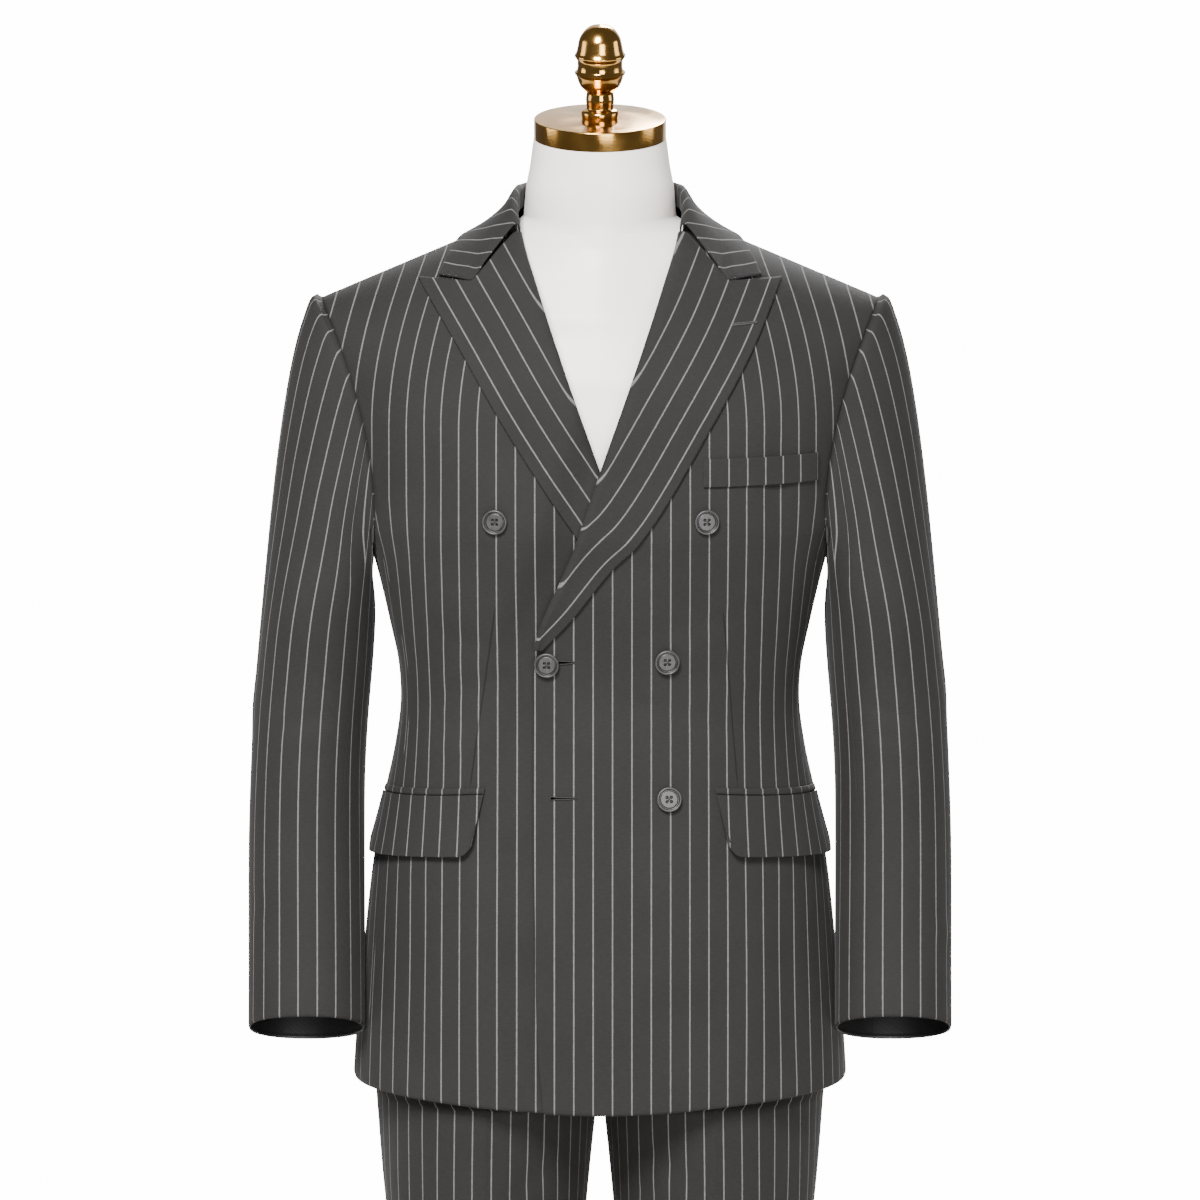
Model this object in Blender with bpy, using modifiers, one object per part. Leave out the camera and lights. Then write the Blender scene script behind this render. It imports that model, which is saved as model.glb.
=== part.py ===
"""Double-breasted suit on a limbless dress form.

The jacket hangs on the form's shoulders, the trousers on its waist, and one trouser leg holds the
form's pole, which stands on a round base. Metres, +Z up. The front faces -Y and the wearer's left
is +X. The origin is the centre of the base's underside.
"""

import math

import bpy
import numpy as np
from mathutils import Vector

# Cloth: wall thicknesses, the gap at a seam and the space under a piece that lies on another
WALL = 0.0020
FACING = 0.0016
SEAM = 0.0003
LAYER = 0.0008

# Jacket rings from the hem to the armpit: superellipses of this power
RING_POWER = 2.6
JACKET_RINGS = (
    # height, half width, front depth, back depth
    (0.770, 0.2138, 0.146, 0.140),
    (0.818, 0.2110, 0.144, 0.139),
    (0.900, 0.2036, 0.141, 0.137),
    (0.974, 0.1955, 0.136, 0.132),
    (1.026, 0.1870, 0.130, 0.123),
    (1.078, 0.1760, 0.123, 0.112),
    (1.113, 0.1716, 0.119, 0.106),
    (1.148, 0.1733, 0.119, 0.106),
    (1.183, 0.1805, 0.122, 0.111),
    (1.222, 0.1895, 0.128, 0.119),
    (1.270, 0.2030, 0.135, 0.127),
)
HEM_SIDE = 0.790
HEM_DROP = 0.015
ARMPIT = 1.270

# Shoulders: the columns of cloth fan out from the armpit ring to the shoulder seam
ARM_X = 0.1923
ARM_FRONT = math.radians(72.1)
ARM_BACK = math.radians(108.0)
SHOULDER_X = 0.2395
SHOULDER_Z = 1.4608
SHOULDER_SLOPE = 0.4237
SHOULDER_Y = 0.010
NECK_X = 0.076
NECK_DEPTH = 0.062
NECK_RISE = 0.010
UP_POWER = 2.6
OVER_POWER = 1.8

# Front edge of the left front, with the roll line of its lapel above the break point
FRONT_EDGE = (
    # height, x
    (0.770, -0.0475),
    (0.830, -0.0530),
    (0.940, -0.0556),
    (1.113, -0.0563),
    (1.170, -0.0546),
    (1.263, -0.0192),
    (1.320, 0.0000),
    (1.417, 0.0342),
    (1.480, 0.0556),
    (1.522, 0.0690),
    (1.545, 0.0725),
)
BREAK_Z = 1.170
GORGE_Z = 1.522
ROLL_BACK = 0.0015
ROLL_START = 0.012
EDGE_SEARCH = np.linspace(-0.7, 1.2, 401)
SINK = 0.0070
SINK_REACH = 0.045
SINK_WIDTH = 0.035

# Lapel: outer edge from the break to the peak, and the gorge along its top
LAPEL_EDGE = (
    # share of the lapel's length, x, height, x and height on the right lapel in its own mirror
    (0.00, -0.0490, 1.1735, -0.0490, 1.1735),
    (0.14, -0.0237, 1.2012, -0.0300, 1.2060),
    (0.30, 0.0107, 1.2448, 0.0020, 1.2440),
    (0.40, 0.0314, 1.2645, 0.0215, 1.2735),
    (0.68, 0.0933, 1.3630, 0.0840, 1.3705),
    (0.84, 0.1275, 1.4235, 0.1195, 1.4310),
    (1.00, 0.1545, 1.4822, 0.1535, 1.4842),
)
GORGE = (
    # share of the lapel's width, x, height
    (0.00, 0.0690, 1.5205),
    (0.22, 0.0850, 1.5060),
    (0.45, 0.1079, 1.4815),
    (1.00, 0.1545, 1.4822),
)
LAPEL_SECTION = (
    # share of the width, x past the roll line, height over the front, height where it is covered
    (0.00, -0.0008, -0.0014, -0.0014),
    (0.00, -0.0028, 0.0008, 0.0004),
    (0.00, -0.0020, 0.0034, 0.0020),
    (0.03, 0.0000, 0.0050, 0.0038),
    (0.14, 0.0000, 0.0052, 0.0038),
    (0.28, 0.0000, 0.0046, 0.0038),
    (0.45, 0.0000, 0.0040, 0.0038),
    (0.72, 0.0000, 0.0036, 0.0038),
    (1.00, 0.0000, 0.0034, 0.0038),
)
LAPEL_ROWS = 17
LAPEL_FOOT = 0.004

# Collar, left half, from its front end to the centre back
COLLAR_FOLD = (
    # share, x, y, height, height of the stand
    (0.00, 0.0712, -0.0370, 1.5302, 0.0072),
    (0.18, 0.0732, -0.0185, 1.5440, 0.011),
    (0.36, 0.0708, 0.0060, 1.5560, 0.018),
    (0.55, 0.0622, 0.0360, 1.5575, 0.022),
    (0.75, 0.0390, 0.0575, 1.5600, 0.026),
    (1.00, 0.0000, 0.0660, 1.5610, 0.027),
)
COLLAR_EDGE = (
    # share, x, y, height, bulge of the leaf
    (0.00, 0.1385, -0.0455, 1.4880, 0.0005),
    (0.18, 0.1300, -0.0215, 1.5040, -0.0020),
    (0.36, 0.1190, 0.0100, 1.5155, -0.0050),
    (0.55, 0.1020, 0.0450, 1.5140, -0.0040),
    (0.75, 0.0695, 0.0875, 1.5145, -0.0005),
    (1.00, 0.0000, 0.1020, 1.5145, 0.0000),
)
COLLAR_NOTCH = (0.1103, -0.0643, 1.4850)
COLLAR_NOTCH_SHARE = 0.55
COLLAR_NOTCH_FADE = 0.30
COLLAR_FOLD_RADIUS = 0.0032
COLLAR_TURN = (
    # the turn over the fold: steps out and up, in fold radii
    (-1.0, -1.0),
    (-0.5, -0.2),
    (0.5, 0.0),
    (1.3, -0.7),
)
COLLAR_LEAF = (0.18, 0.36, COLLAR_NOTCH_SHARE, 0.78, 1.0)
COLLAR_COLUMNS = 21

# Sleeves: the armhole's loop, then rings down the arm
SLEEVE_GAP = 0.0014
SLEEVE_POWER = 2.2
SLEEVE_RINGS = (
    # height, centre x, centre y, half width, half depth, forward pitch in degrees
    (1.200, 0.2410, 0.0060, 0.0495, 0.0750, 0.0),
    (1.150, 0.2450, 0.0080, 0.0502, 0.0710, 2.0),
    (1.100, 0.2490, 0.0060, 0.0497, 0.0670, 5.0),
    (1.050, 0.2515, -0.0020, 0.0495, 0.0630, 10.0),
    (1.000, 0.2524, -0.0130, 0.0500, 0.0590, 14.0),
    (0.950, 0.2524, -0.0270, 0.0502, 0.0560, 17.0),
    (0.900, 0.2521, -0.0430, 0.0502, 0.0530, 19.0),
    (0.838, 0.2519, -0.0655, 0.0502, 0.0495, 21.0),
)
CAP_STEPS = (0.0, 0.06, 0.14, 0.25, 0.40, 0.55, 0.70, 0.85)
CAP_EASE = 1.5
CAP_EASE_TOP = 0.46
CAP_EASE_UNDER = 1.30
SLEEVE_HEAD = 0.0050
SLEEVE_HEAD_AT = 0.06
SLEEVE_HEAD_WIDTH = 0.07
SLEEVE_SEAM_FRONT = math.radians(123)
SLEEVE_SEAM_BACK = math.radians(-110)
ARM_ROWS = 11
SLEEVE_SEAM = 0.0005

# Pockets
WELT_X = (0.0877, 0.1845)
WELT_Z = (1.3145, 1.3385)
FLAP_ANGLES = (math.radians(40.3), math.radians(84))
FLAP_TOP = 1.0380
FLAP_RISE = 0.0110
FLAP_DROP = 0.0525
FLAP_FLARE = 0.0045
FLAP_LEAN = math.radians(1.8)
FLAP_CORNER = 0.012
FLAP_CURL = 1.5
FLAP_COLUMNS = np.array((0, 0.018, 0.05, 0.10, 0.20, 0.35, 0.50, 0.65, 0.80, 0.90, 0.95, 0.982, 1))
JET_HEIGHT = 0.0060
JET_THICK = 0.0012

# Buttons
BUTTON_RADIUS = 0.0107
BUTTON_THICK = 0.0038
BUTTON_RIM = 0.0022
BUTTON_DISH = 0.0011
BUTTON_EASE = 0.0008
BUTTON_SIDES = 20
BUTTONS = (
    # name, x, height, side: 1 on the left front and -1 on the right, height over the front
    ("button_upper_right", -0.0892, 1.2850, -1, 0.0004),
    ("button_upper_left", 0.0905, 1.2850, 1, 0.0004),
    ("button_fastened", -0.0453, 1.1610, 1, 0.0012),
    ("button_middle_left", 0.0570, 1.1635, 1, 0.0012),
    ("button_lower_left", 0.0587, 1.0457, 1, 0.0008),
)

# Trousers
HIP_RINGS = (
    # height, half width, front depth, back depth
    (0.775, 0.1935, 0.1220, 0.1260),
    (0.840, 0.1920, 0.1270, 0.1310),
    (0.900, 0.1855, 0.1270, 0.1310),
    (0.950, 0.1800, 0.1240, 0.1270),
    (1.000, 0.1720, 0.1180, 0.1180),
    (1.0750, 0.1570, 0.1075, 0.1025),
    (1.1130, 0.1570, 0.1070, 0.1020),
)
LEG_RINGS = (
    # height, centre x, centre y, half width, front depth, back depth
    (0.034, 0.0960, 0.0100, 0.0600, 0.0750, 0.0750),
    (0.150, 0.0960, 0.0090, 0.0610, 0.0760, 0.0760),
    (0.300, 0.0960, 0.0070, 0.0640, 0.0790, 0.0790),
    (0.500, 0.0970, 0.0040, 0.0710, 0.0850, 0.0870),
    (0.600, 0.0975, 0.0030, 0.0795, 0.0920, 0.0960),
    (0.700, 0.0985, 0.0010, 0.0893, 0.1040, 0.1090),
    (0.775, 0.0975, 0.0000, 0.0960, 0.1180, 0.1240),
)
HIP_POWER = 2.4
LEG_POWER = 2.1
CREASE = 0.005
CREASE_WIDTH = 0.30
CREASE_TOP = 1.0
CREASE_FADE = 0.2
CROTCH_Z = 0.775
FORK_Z = 0.860
TROUSER_TOP = 1.0750
BAND_TOP = 1.1130
LEG_STEPS = (0.034, 0.15, 0.27, 0.39, 0.50, 0.59, 0.66, 0.72, 0.775, 0.80, 0.825, 0.845, 0.86,
             0.91, 0.97, 1.03, TROUSER_TOP)

# Dress form and stand
FORM_RINGS = (
    # height, half width, front depth, back depth, centre y, power
    (0.880, 0.1520, 0.105, 0.108, 0.000, 2.2),
    (0.890, 0.1640, 0.114, 0.117, 0.000, 2.2),
    (0.950, 0.1690, 0.117, 0.120, 0.000, 2.3),
    (1.000, 0.1620, 0.111, 0.112, 0.000, 2.3),
    (1.045, 0.1545, 0.105, 0.103, 0.000, 2.4),
    (1.074, 0.1533, 0.1034, 0.0984, 0.000, 2.4),
    (1.114, 0.1533, 0.1034, 0.0984, 0.000, 2.4),
    (1.150, 0.1580, 0.104, 0.099, 0.000, 2.4),
    (1.200, 0.1680, 0.109, 0.106, 0.000, 2.4),
    (1.270, 0.1850, 0.118, 0.114, 0.000, 2.4),
    (1.340, 0.1940, 0.116, 0.114, 0.000, 2.3),
    (1.395, 0.2080, 0.107, 0.102, 0.002, 2.1),
    (1.435, 0.2200, 0.094, 0.082, 0.006, 1.7),
    (1.4572, 0.2335, 0.086, 0.066, 0.010, 1.45),
    (1.4763, 0.1945, 0.080, 0.060, 0.010, 1.45),
    (1.4943, 0.1520, 0.074, 0.056, 0.010, 1.5),
    (1.5103, 0.1140, 0.068, 0.052, 0.010, 1.5),
    (1.5223, 0.0825, 0.0650, 0.0500, 0.009, 1.5),
    (1.5320, 0.0655, 0.0620, 0.0510, 0.007, 1.8),
    (1.5580, 0.0632, 0.0605, 0.0570, 0.003, 2.0),
    (1.5760, 0.0595, 0.0585, 0.0570, 0.001, 2.0),
    (1.5935, 0.0566, 0.0566, 0.0566, -0.001, 2.0),
)
FORM_SIDES = 32
NECK_TOP = Vector((0.0, -0.001, 1.5935))
NECK_LEAN = math.radians(7)
CAP_RADIUS = 0.0566
CAP_HEIGHT = 0.0165
CAP_BEVEL = 0.001
FINIAL_PROFILE = (
    # radius, height over the cap
    (0.0000, 0.0826),
    (0.0072, 0.0812),
    (0.0138, 0.0765),
    (0.0182, 0.0685),
    (0.0198, 0.0602),
    (0.0206, 0.0577),
    (0.0219, 0.0553),
    (0.0206, 0.0530),
    (0.0194, 0.0508),
    (0.0192, 0.0470),
    (0.0196, 0.0430),
    (0.0219, 0.0402),
    (0.0204, 0.0380),
    (0.0192, 0.0342),
    (0.0170, 0.0290),
    (0.0115, 0.0228),
    (0.0122, 0.0170),
    (0.0115, 0.0095),
    (0.0150, 0.0075),
    (0.0161, 0.0055),
    (0.0155, 0.0000),
    (0.0000, 0.0000),
)
POLE_X = 0.096
POLE_RADIUS = 0.0125
BASE_RADIUS = 0.210
BASE_HEIGHT = 0.012
BASE_BEVEL = 0.003

JACKET_LEVELS = np.concatenate([np.linspace(0, 1, 11), np.linspace(1, 2, 9)[1:]])
FRONT_COLUMNS = 14
SIDE_COLUMNS = 5
BACK_COLUMNS = 10


def srgb(code):
    """Linear colour of an sRGB hex code."""
    parts = [int(code[i:i + 2], 16) / 255 for i in (0, 2, 4)]
    return [p / 12.92 if p <= 0.04045 else ((p + 0.055) / 1.055) ** 2.4 for p in parts] + [1.0]


def material(name, code, roughness, metallic=0.0):
    made = bpy.data.materials.new(name)
    made.use_nodes = True
    shader = made.node_tree.nodes["Principled BSDF"]
    shader.inputs["Base Color"].default_value = srgb(code)
    shader.inputs["Roughness"].default_value = roughness
    shader.inputs["Metallic"].default_value = metallic
    made.diffuse_color = srgb(code)
    return made


def table(rows, at):
    """Smooth curves through a table whose first column is the position: one value a column."""
    rows = np.asarray(rows, float)
    rows = rows[np.argsort(rows[:, 0])]
    place, values = rows[:, 0], rows[:, 1:]
    slope = np.gradient(values, place, axis=0)
    at = np.clip(np.asarray(at, float), place[0], place[-1])
    i = np.clip(np.searchsorted(place, at, side="right") - 1, 0, len(place) - 2)
    width = (place[i + 1] - place[i])[..., None]
    t = (at - place[i])[..., None] / width
    found = ((2 * t**3 - 3 * t**2 + 1) * values[i] + (t**3 - 2 * t**2 + t) * width * slope[i]
             + (3 * t**2 - 2 * t**3) * values[i + 1] + (t**3 - t**2) * width * slope[i + 1])
    return np.moveaxis(found, -1, 0)


def smoothstep(t):
    t = np.clip(t, 0, 1)
    return t * t * (3 - 2 * t)


def stack(x, y, z):
    return np.stack(np.broadcast_arrays(x, y, z), -1)


def mirrored(points):
    return points * (-1, 1, 1)


def oval(angle, half_width, front, back, power):
    """Point of a superellipse at a polar angle: 0 is the front, a right angle the side, +X."""
    side, ahead = np.sin(angle), np.cos(angle)
    depth = np.where(ahead > 0, front, back)
    radius = (np.abs(side / half_width) ** power + np.abs(ahead / depth) ** power) ** (-1 / power)
    return radius * side, -radius * ahead


def ridge(x, back):
    """Shoulder seam and, on the back, the neckline: its y and height over a column's x."""
    x = np.abs(x)
    height = SHOULDER_Z + (SHOULDER_X - x) * SHOULDER_SLOPE
    round_neck = np.sqrt(np.clip(1 - (x / NECK_X) ** 2, 0, 1))
    neck_z = SHOULDER_Z + (SHOULDER_X - NECK_X) * SHOULDER_SLOPE + NECK_RISE * round_neck
    inside = back & (x < NECK_X)
    y = np.where(inside, SHOULDER_Y + NECK_DEPTH * round_neck, SHOULDER_Y)
    return y + np.where(back, SEAM / 2, -SEAM / 2), np.where(inside, neck_z, height)


def jacket(angle, level):
    """Outer face of the jacket's body. Level 0 is the hem, 1 the armpit, 2 the shoulder seam."""
    angle, level = np.broadcast_arrays(angle, level)
    ahead = np.clip(np.cos(angle), 0, 1)
    hem = HEM_SIDE - HEM_DROP * ahead**2
    low = hem + (ARMPIT - hem) * np.clip(level, 0, 1)
    x, y = oval(angle, *table(JACKET_RINGS, low), RING_POWER)
    turn = np.clip(level - 1, 0, 1) * math.pi / 2
    up = np.sin(turn) ** (2 / UP_POWER)
    over = np.cos(turn) ** (2 / OVER_POWER)
    top_x = x * SHOULDER_X / ARM_X
    top_y, top_z = ridge(top_x, np.cos(angle) < 0)
    return stack(x + (top_x - x) * up**2, top_y - (top_y - y) * over, low + (top_z - low) * up)


def front(x, z):
    """Outer face of the jacket's front at a place seen from the front."""
    x, z = np.broadcast_arrays(x, z)
    low = np.minimum(z, ARMPIT)
    half_width, depth, _ = table(JACKET_RINGS, low)
    spread = SHOULDER_X / ARM_X - 1
    column = np.array(x, float)
    for _ in range(12):
        top_y, top_z = ridge(column * (1 + spread), False)
        up = np.clip((z - ARMPIT) / (top_z - ARMPIT), 0, 1)
        column = x / (1 + spread * up**2)
    y = -depth * np.clip(1 - np.abs(column / half_width) ** RING_POWER, 0, 1) ** (1 / RING_POWER)
    over = (1 - up**UP_POWER) ** (1 / OVER_POWER)
    return stack(x, top_y - (top_y - y) * over, z)


def normals(function, u, v, step=1e-4):
    """Unit normals of function(u, v), on the side of u cross v, by differences inside its range."""
    du = np.where(u + step > u.max(), -step, step)
    dv = np.where(v + step > v.max(), -step, step)
    across = (function(u + du, v) - function(u, v)) / du[..., None]
    along = (function(u, v + dv) - function(u, v)) / dv[..., None]
    found = np.cross(across, along)
    return found / np.linalg.norm(found, axis=-1, keepdims=True)


def grid_normals(points, closed=False):
    """Unit normals of a grid of points, columns cross rows. Closed columns join end to end."""
    if closed:
        wide = np.concatenate([points[:, -2:-1], points, points[:, 1:2]], 1)
        across = (wide[:, 2:] - wide[:, :-2]) / 2
    else:
        across = np.gradient(points, axis=1)
    along = np.gradient(points, axis=0)
    found = np.cross(across, along)
    return found / np.linalg.norm(found, axis=-1, keepdims=True)


def add_object(name, vertices, faces, finish):
    mesh = bpy.data.meshes.new(name)
    mesh.from_pydata([tuple(v) for v in vertices], [], faces)
    mesh.materials.append(finish)
    mesh.shade_smooth()
    mesh.set_sharp_from_angle(angle=math.radians(40))
    made = bpy.data.objects.new(name, mesh)
    PARTS.objects.link(made)
    return made


def loft(name, outer, inner, finish, closed=False):
    """Closed wall between two grids of points; outward is columns cross rows of the outer one."""
    rows, columns = outer.shape[:2]
    size = rows * columns
    index = np.arange(size).reshape(rows, columns)
    if closed:
        index = np.concatenate([index, index[:, :1]], 1)
    quads = np.stack([index[:-1, :-1], index[:-1, 1:], index[1:, 1:], index[1:, :-1]], -1)
    outside = quads.reshape(-1, 4)
    inside = outside[:, ::-1] + size
    edges = [index[0, ::-1], index[-1]]
    if not closed:
        edges += [index[:, 0], index[::-1, -1]]
    rims = [np.stack([e[:-1], e[:-1] + size, e[1:] + size, e[1:]], -1)[:, ::-1] for e in edges]
    faces = np.concatenate([outside, inside, *rims])
    vertices = np.concatenate([outer.reshape(-1, 3), inner.reshape(-1, 3)])
    return add_object(name, vertices, faces.tolist(), finish)


def cloth(name, outer, normal, thickness, finish, closed=False):
    """Wall of cloth: the grid of its outer face, and the same grid moved in by the thickness."""
    return loft(name, outer, outer - normal * thickness, finish, closed)


def pair(name, outer, normal, thickness, finish, closed=False):
    """The wearer's left piece and its mirror image."""
    cloth("left_" + name, outer, normal, thickness, finish, closed)
    cloth("right_" + name, mirrored(outer)[:, ::-1], mirrored(normal)[:, ::-1], thickness, finish,
          closed)


def front_edge_angle(level):
    """Angle at which the left front ends at a level: at its edge or behind its lapel's roll."""
    found = []
    for one in level:
        points = jacket(EDGE_SEARCH, one)
        x, z = points[:, 0], points[:, 2]
        edge = table(FRONT_EDGE, z)[0]
        edge = edge + ROLL_BACK * smoothstep((z - BREAK_Z) / ROLL_START + 0.5)
        found.append(np.interp(0, x - edge, EDGE_SEARCH))
    return np.array(found)


def sunk(x, z):
    """Depth by which the right front's outer face lies under the left front, in its own mirror."""
    edge = -table(FRONT_EDGE, z)[0]
    return SINK * smoothstep((edge + SINK_REACH - x) / SINK_WIDTH)


def seam_angle(angle, level, side):
    """An angle moved off its seam by half the seam's gap."""
    radius = np.linalg.norm(jacket(angle, np.minimum(level, 1.0))[..., :2], axis=-1)
    return angle + side * SEAM / 2 / radius


def make_fronts():
    inner = front_edge_angle(JACKET_LEVELS)
    outer = seam_angle(ARM_FRONT, JACKET_LEVELS, -1)
    share = np.linspace(0, 1, FRONT_COLUMNS)
    angle = inner[:, None] + (outer - inner)[:, None] * share
    level = np.broadcast_to(JACKET_LEVELS[:, None], angle.shape)
    points = jacket(angle, level)
    normal = normals(jacket, angle, level)
    cloth("left_front", points, normal, WALL, CLOTH)
    lower = points - normal * sunk(points[..., 0], points[..., 2])[..., None]
    cloth("right_front", mirrored(lower)[:, ::-1], mirrored(normal)[:, ::-1], WALL, CLOTH)


def body_panel(name, start, end, levels, columns):
    share = np.linspace(0, 1, columns)
    first = start(levels)
    last = end(levels)
    angle = first[:, None] + (last - first)[:, None] * share
    level = np.broadcast_to(levels[:, None], angle.shape)
    pair(name, jacket(angle, level), normals(jacket, angle, level), WALL, CLOTH)


def make_sides_and_backs():
    def front_seam(levels):
        return seam_angle(ARM_FRONT, levels, 1)

    def side_seam(levels):
        return seam_angle(ARM_BACK, levels, -1)

    def back_side_seam(levels):
        return seam_angle(ARM_BACK, levels, 1)

    def centre_seam(levels):
        return seam_angle(math.pi, levels, -1)

    body_panel("side", front_seam, side_seam, JACKET_LEVELS[JACKET_LEVELS <= 1], SIDE_COLUMNS)
    body_panel("back", back_side_seam, centre_seam, JACKET_LEVELS, BACK_COLUMNS)


def lapel_grid(edge):
    """A lapel laid on the front, as seen from there: rows up the roll line, columns to its edge."""
    share = np.linspace(0, 1, LAPEL_ROWS)[:, None]
    section = np.array(LAPEL_SECTION)
    width, past = section[:, 0], section[:, 1]
    roll_z = BREAK_Z + LAPEL_FOOT + (GORGE_Z - BREAK_Z - LAPEL_FOOT) * share
    roll_x = table(FRONT_EDGE, roll_z)[0]
    edge_x, edge_z = table(edge, share)
    top_x, top_z = (np.interp(width, *np.array(GORGE)[:, [0, k]].T) for k in (1, 2))
    bend = share**3
    x = roll_x + (edge_x - roll_x) * width
    z = roll_z + (edge_z - roll_z) * width
    x = x + (top_x - (roll_x[-1] + (edge_x[-1] - roll_x[-1]) * width)) * bend
    z = z + (top_z - SEAM / 2 - (roll_z[-1] + (edge_z[-1] - roll_z[-1]) * width)) * bend
    return x, z, past


def make_lapels():
    section = np.array(LAPEL_SECTION)
    for name, columns in (("left_lapel", (0, 1, 2)), ("right_lapel", (0, 3, 4))):
        x, z, past = lapel_grid(np.array(LAPEL_EDGE)[:, columns])
        base = front(x, z)
        off = normals(front, x, z)
        covered = sunk(x, z) * (name == "right_lapel")
        hidden = covered / SINK
        height = section[:, 2] + (section[:, 3] - section[:, 2]) * hidden
        points = base + off * (height - covered)[..., None]
        points[..., 0] += past
        if name == "right_lapel":
            points = mirrored(points)[:, ::-1]
        cloth(name, points, grid_normals(points), FACING, CLOTH)


def collar_half():
    """Left half of the collar's outer face: rows from the front end to the centre back."""
    share = np.linspace(0, 1, COLLAR_COLUMNS // 2 + 1)
    fold = np.stack(table([r[:4] for r in COLLAR_FOLD], share), -1)
    stand = table([(r[0], r[4]) for r in COLLAR_FOLD], share)[0]
    edge = np.stack(table([r[:4] for r in COLLAR_EDGE], share), -1)
    fullness = table([(r[0], r[4]) for r in COLLAR_EDGE], share)
    out = edge - fold
    out[:, 2] = 0
    out /= np.linalg.norm(out, axis=1, keepdims=True)
    radius = COLLAR_FOLD_RADIUS
    up = np.array((0.0, 0.0, 1.0))
    rows = [fold - out * radius - up * stand[:, None]]
    rows.append(fold - out * radius - up * (stand[:, None] * 0.5))
    rows += [fold + (out * over + up * rise) * radius for over, rise in COLLAR_TURN]
    start = rows[-1]
    notch = np.array(COLLAR_NOTCH)
    fade = np.clip(1 - share / COLLAR_NOTCH_FADE, 0, 1)[:, None] ** 2
    for t in COLLAR_LEAF:
        straight = start + (edge - start) * t
        peak = min(t / COLLAR_NOTCH_SHARE, (1 - t) / (1 - COLLAR_NOTCH_SHARE))
        first = start[0] + (edge[0] - start[0]) * COLLAR_NOTCH_SHARE
        bulge = fullness.T * math.sin(math.pi * t**0.8)
        rows.append(straight + (notch - first) * peak * fade + (out * 0.6 + up * 0.8) * bulge)
    return np.stack(rows, 1)


def make_collar():
    half = collar_half()
    whole = np.concatenate([half, mirrored(half)[::-1][1:]])
    cloth("collar", whole, grid_normals(whole), FACING, CLOTH)


def armhole(share):
    """Armhole's edge by share of its length: over the front, under the arm and up the back."""
    fall = np.linspace(2, 1, 80)
    under = np.linspace(ARM_FRONT, ARM_BACK, 20)[1:-1]
    loop = np.concatenate([jacket(ARM_FRONT, fall), jacket(under, 1.0),
                           jacket(ARM_BACK, fall[::-1])])
    length = np.concatenate([[0], np.cumsum(np.linalg.norm(np.diff(loop, axis=0), axis=1))])
    at = np.mod(share, 1.0) * length[-1]
    return np.stack([np.interp(at, length, loop[:, k]) for k in range(3)], -1)


def sleeve_ring(angle, height):
    """A ring of the arm: angle 0 is the outer side, a right angle the front."""
    x0, y0, half_width, half_depth, pitch = table(SLEEVE_RINGS, height)
    pitch = np.radians(pitch)
    depth, width = oval(angle, half_depth, half_width, half_width, SLEEVE_POWER)
    return stack(x0 - width, y0 - depth * np.cos(pitch), height + depth * np.sin(pitch))


def sleeve(angle, level):
    """Outer face of the left sleeve. Level 0 is the armhole, 1 the upper arm, 2 the hem."""
    angle, level = np.broadcast_arrays(angle, level)
    top, hem = SLEEVE_RINGS[0][0], SLEEVE_RINGS[-1][0]
    arm = sleeve_ring(angle, top + (hem - top) * np.clip(level - 1, 0, 1))
    start = armhole(angle / (2 * math.pi)) + (SLEEVE_GAP, 0, 0)
    fall = np.clip(level, 0, 1) ** CAP_EASE
    under = (1 - np.cos(angle)) / 2
    out = fall ** (CAP_EASE_TOP + (CAP_EASE_UNDER - CAP_EASE_TOP) * under)
    bump = np.exp(-(((level - SLEEVE_HEAD_AT) / SLEEVE_HEAD_WIDTH) ** 2))
    head = SLEEVE_HEAD * (1 - under) ** 4 * bump
    weight = np.stack([out, out, fall], -1)
    cap = start + (arm - start) * weight
    cap[..., 2] += np.where(level > 0, head, 0)
    return np.where((level < 1)[..., None], cap, arm)


def make_sleeves():
    levels = np.concatenate([CAP_STEPS, np.linspace(1, 2, ARM_ROWS)])[::-1]
    gap = SLEEVE_SEAM / SLEEVE_RINGS[-1][3]
    spans = (("top_sleeve", SLEEVE_SEAM_BACK + gap, SLEEVE_SEAM_FRONT - gap, 13),
             ("under_sleeve", SLEEVE_SEAM_FRONT + gap, SLEEVE_SEAM_BACK + 2 * math.pi - gap, 8))
    around = np.linspace(0, 2 * math.pi, 73)
    ring = sleeve(around[None, :], levels[:, None])
    ring_normals = -grid_normals(ring, closed=True)
    for name, start, end, columns in spans:
        angle = np.linspace(start, end, columns)[None, :]
        points = sleeve(angle, levels[:, None])
        wrapped = np.mod(angle[0], 2 * math.pi)
        normal = np.stack([[np.interp(wrapped, around, row[:, k]) for k in range(3)]
                           for row in ring_normals]).transpose(0, 2, 1)
        pair(name, points[:, ::-1], normal[:, ::-1], WALL, CLOTH)


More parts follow.
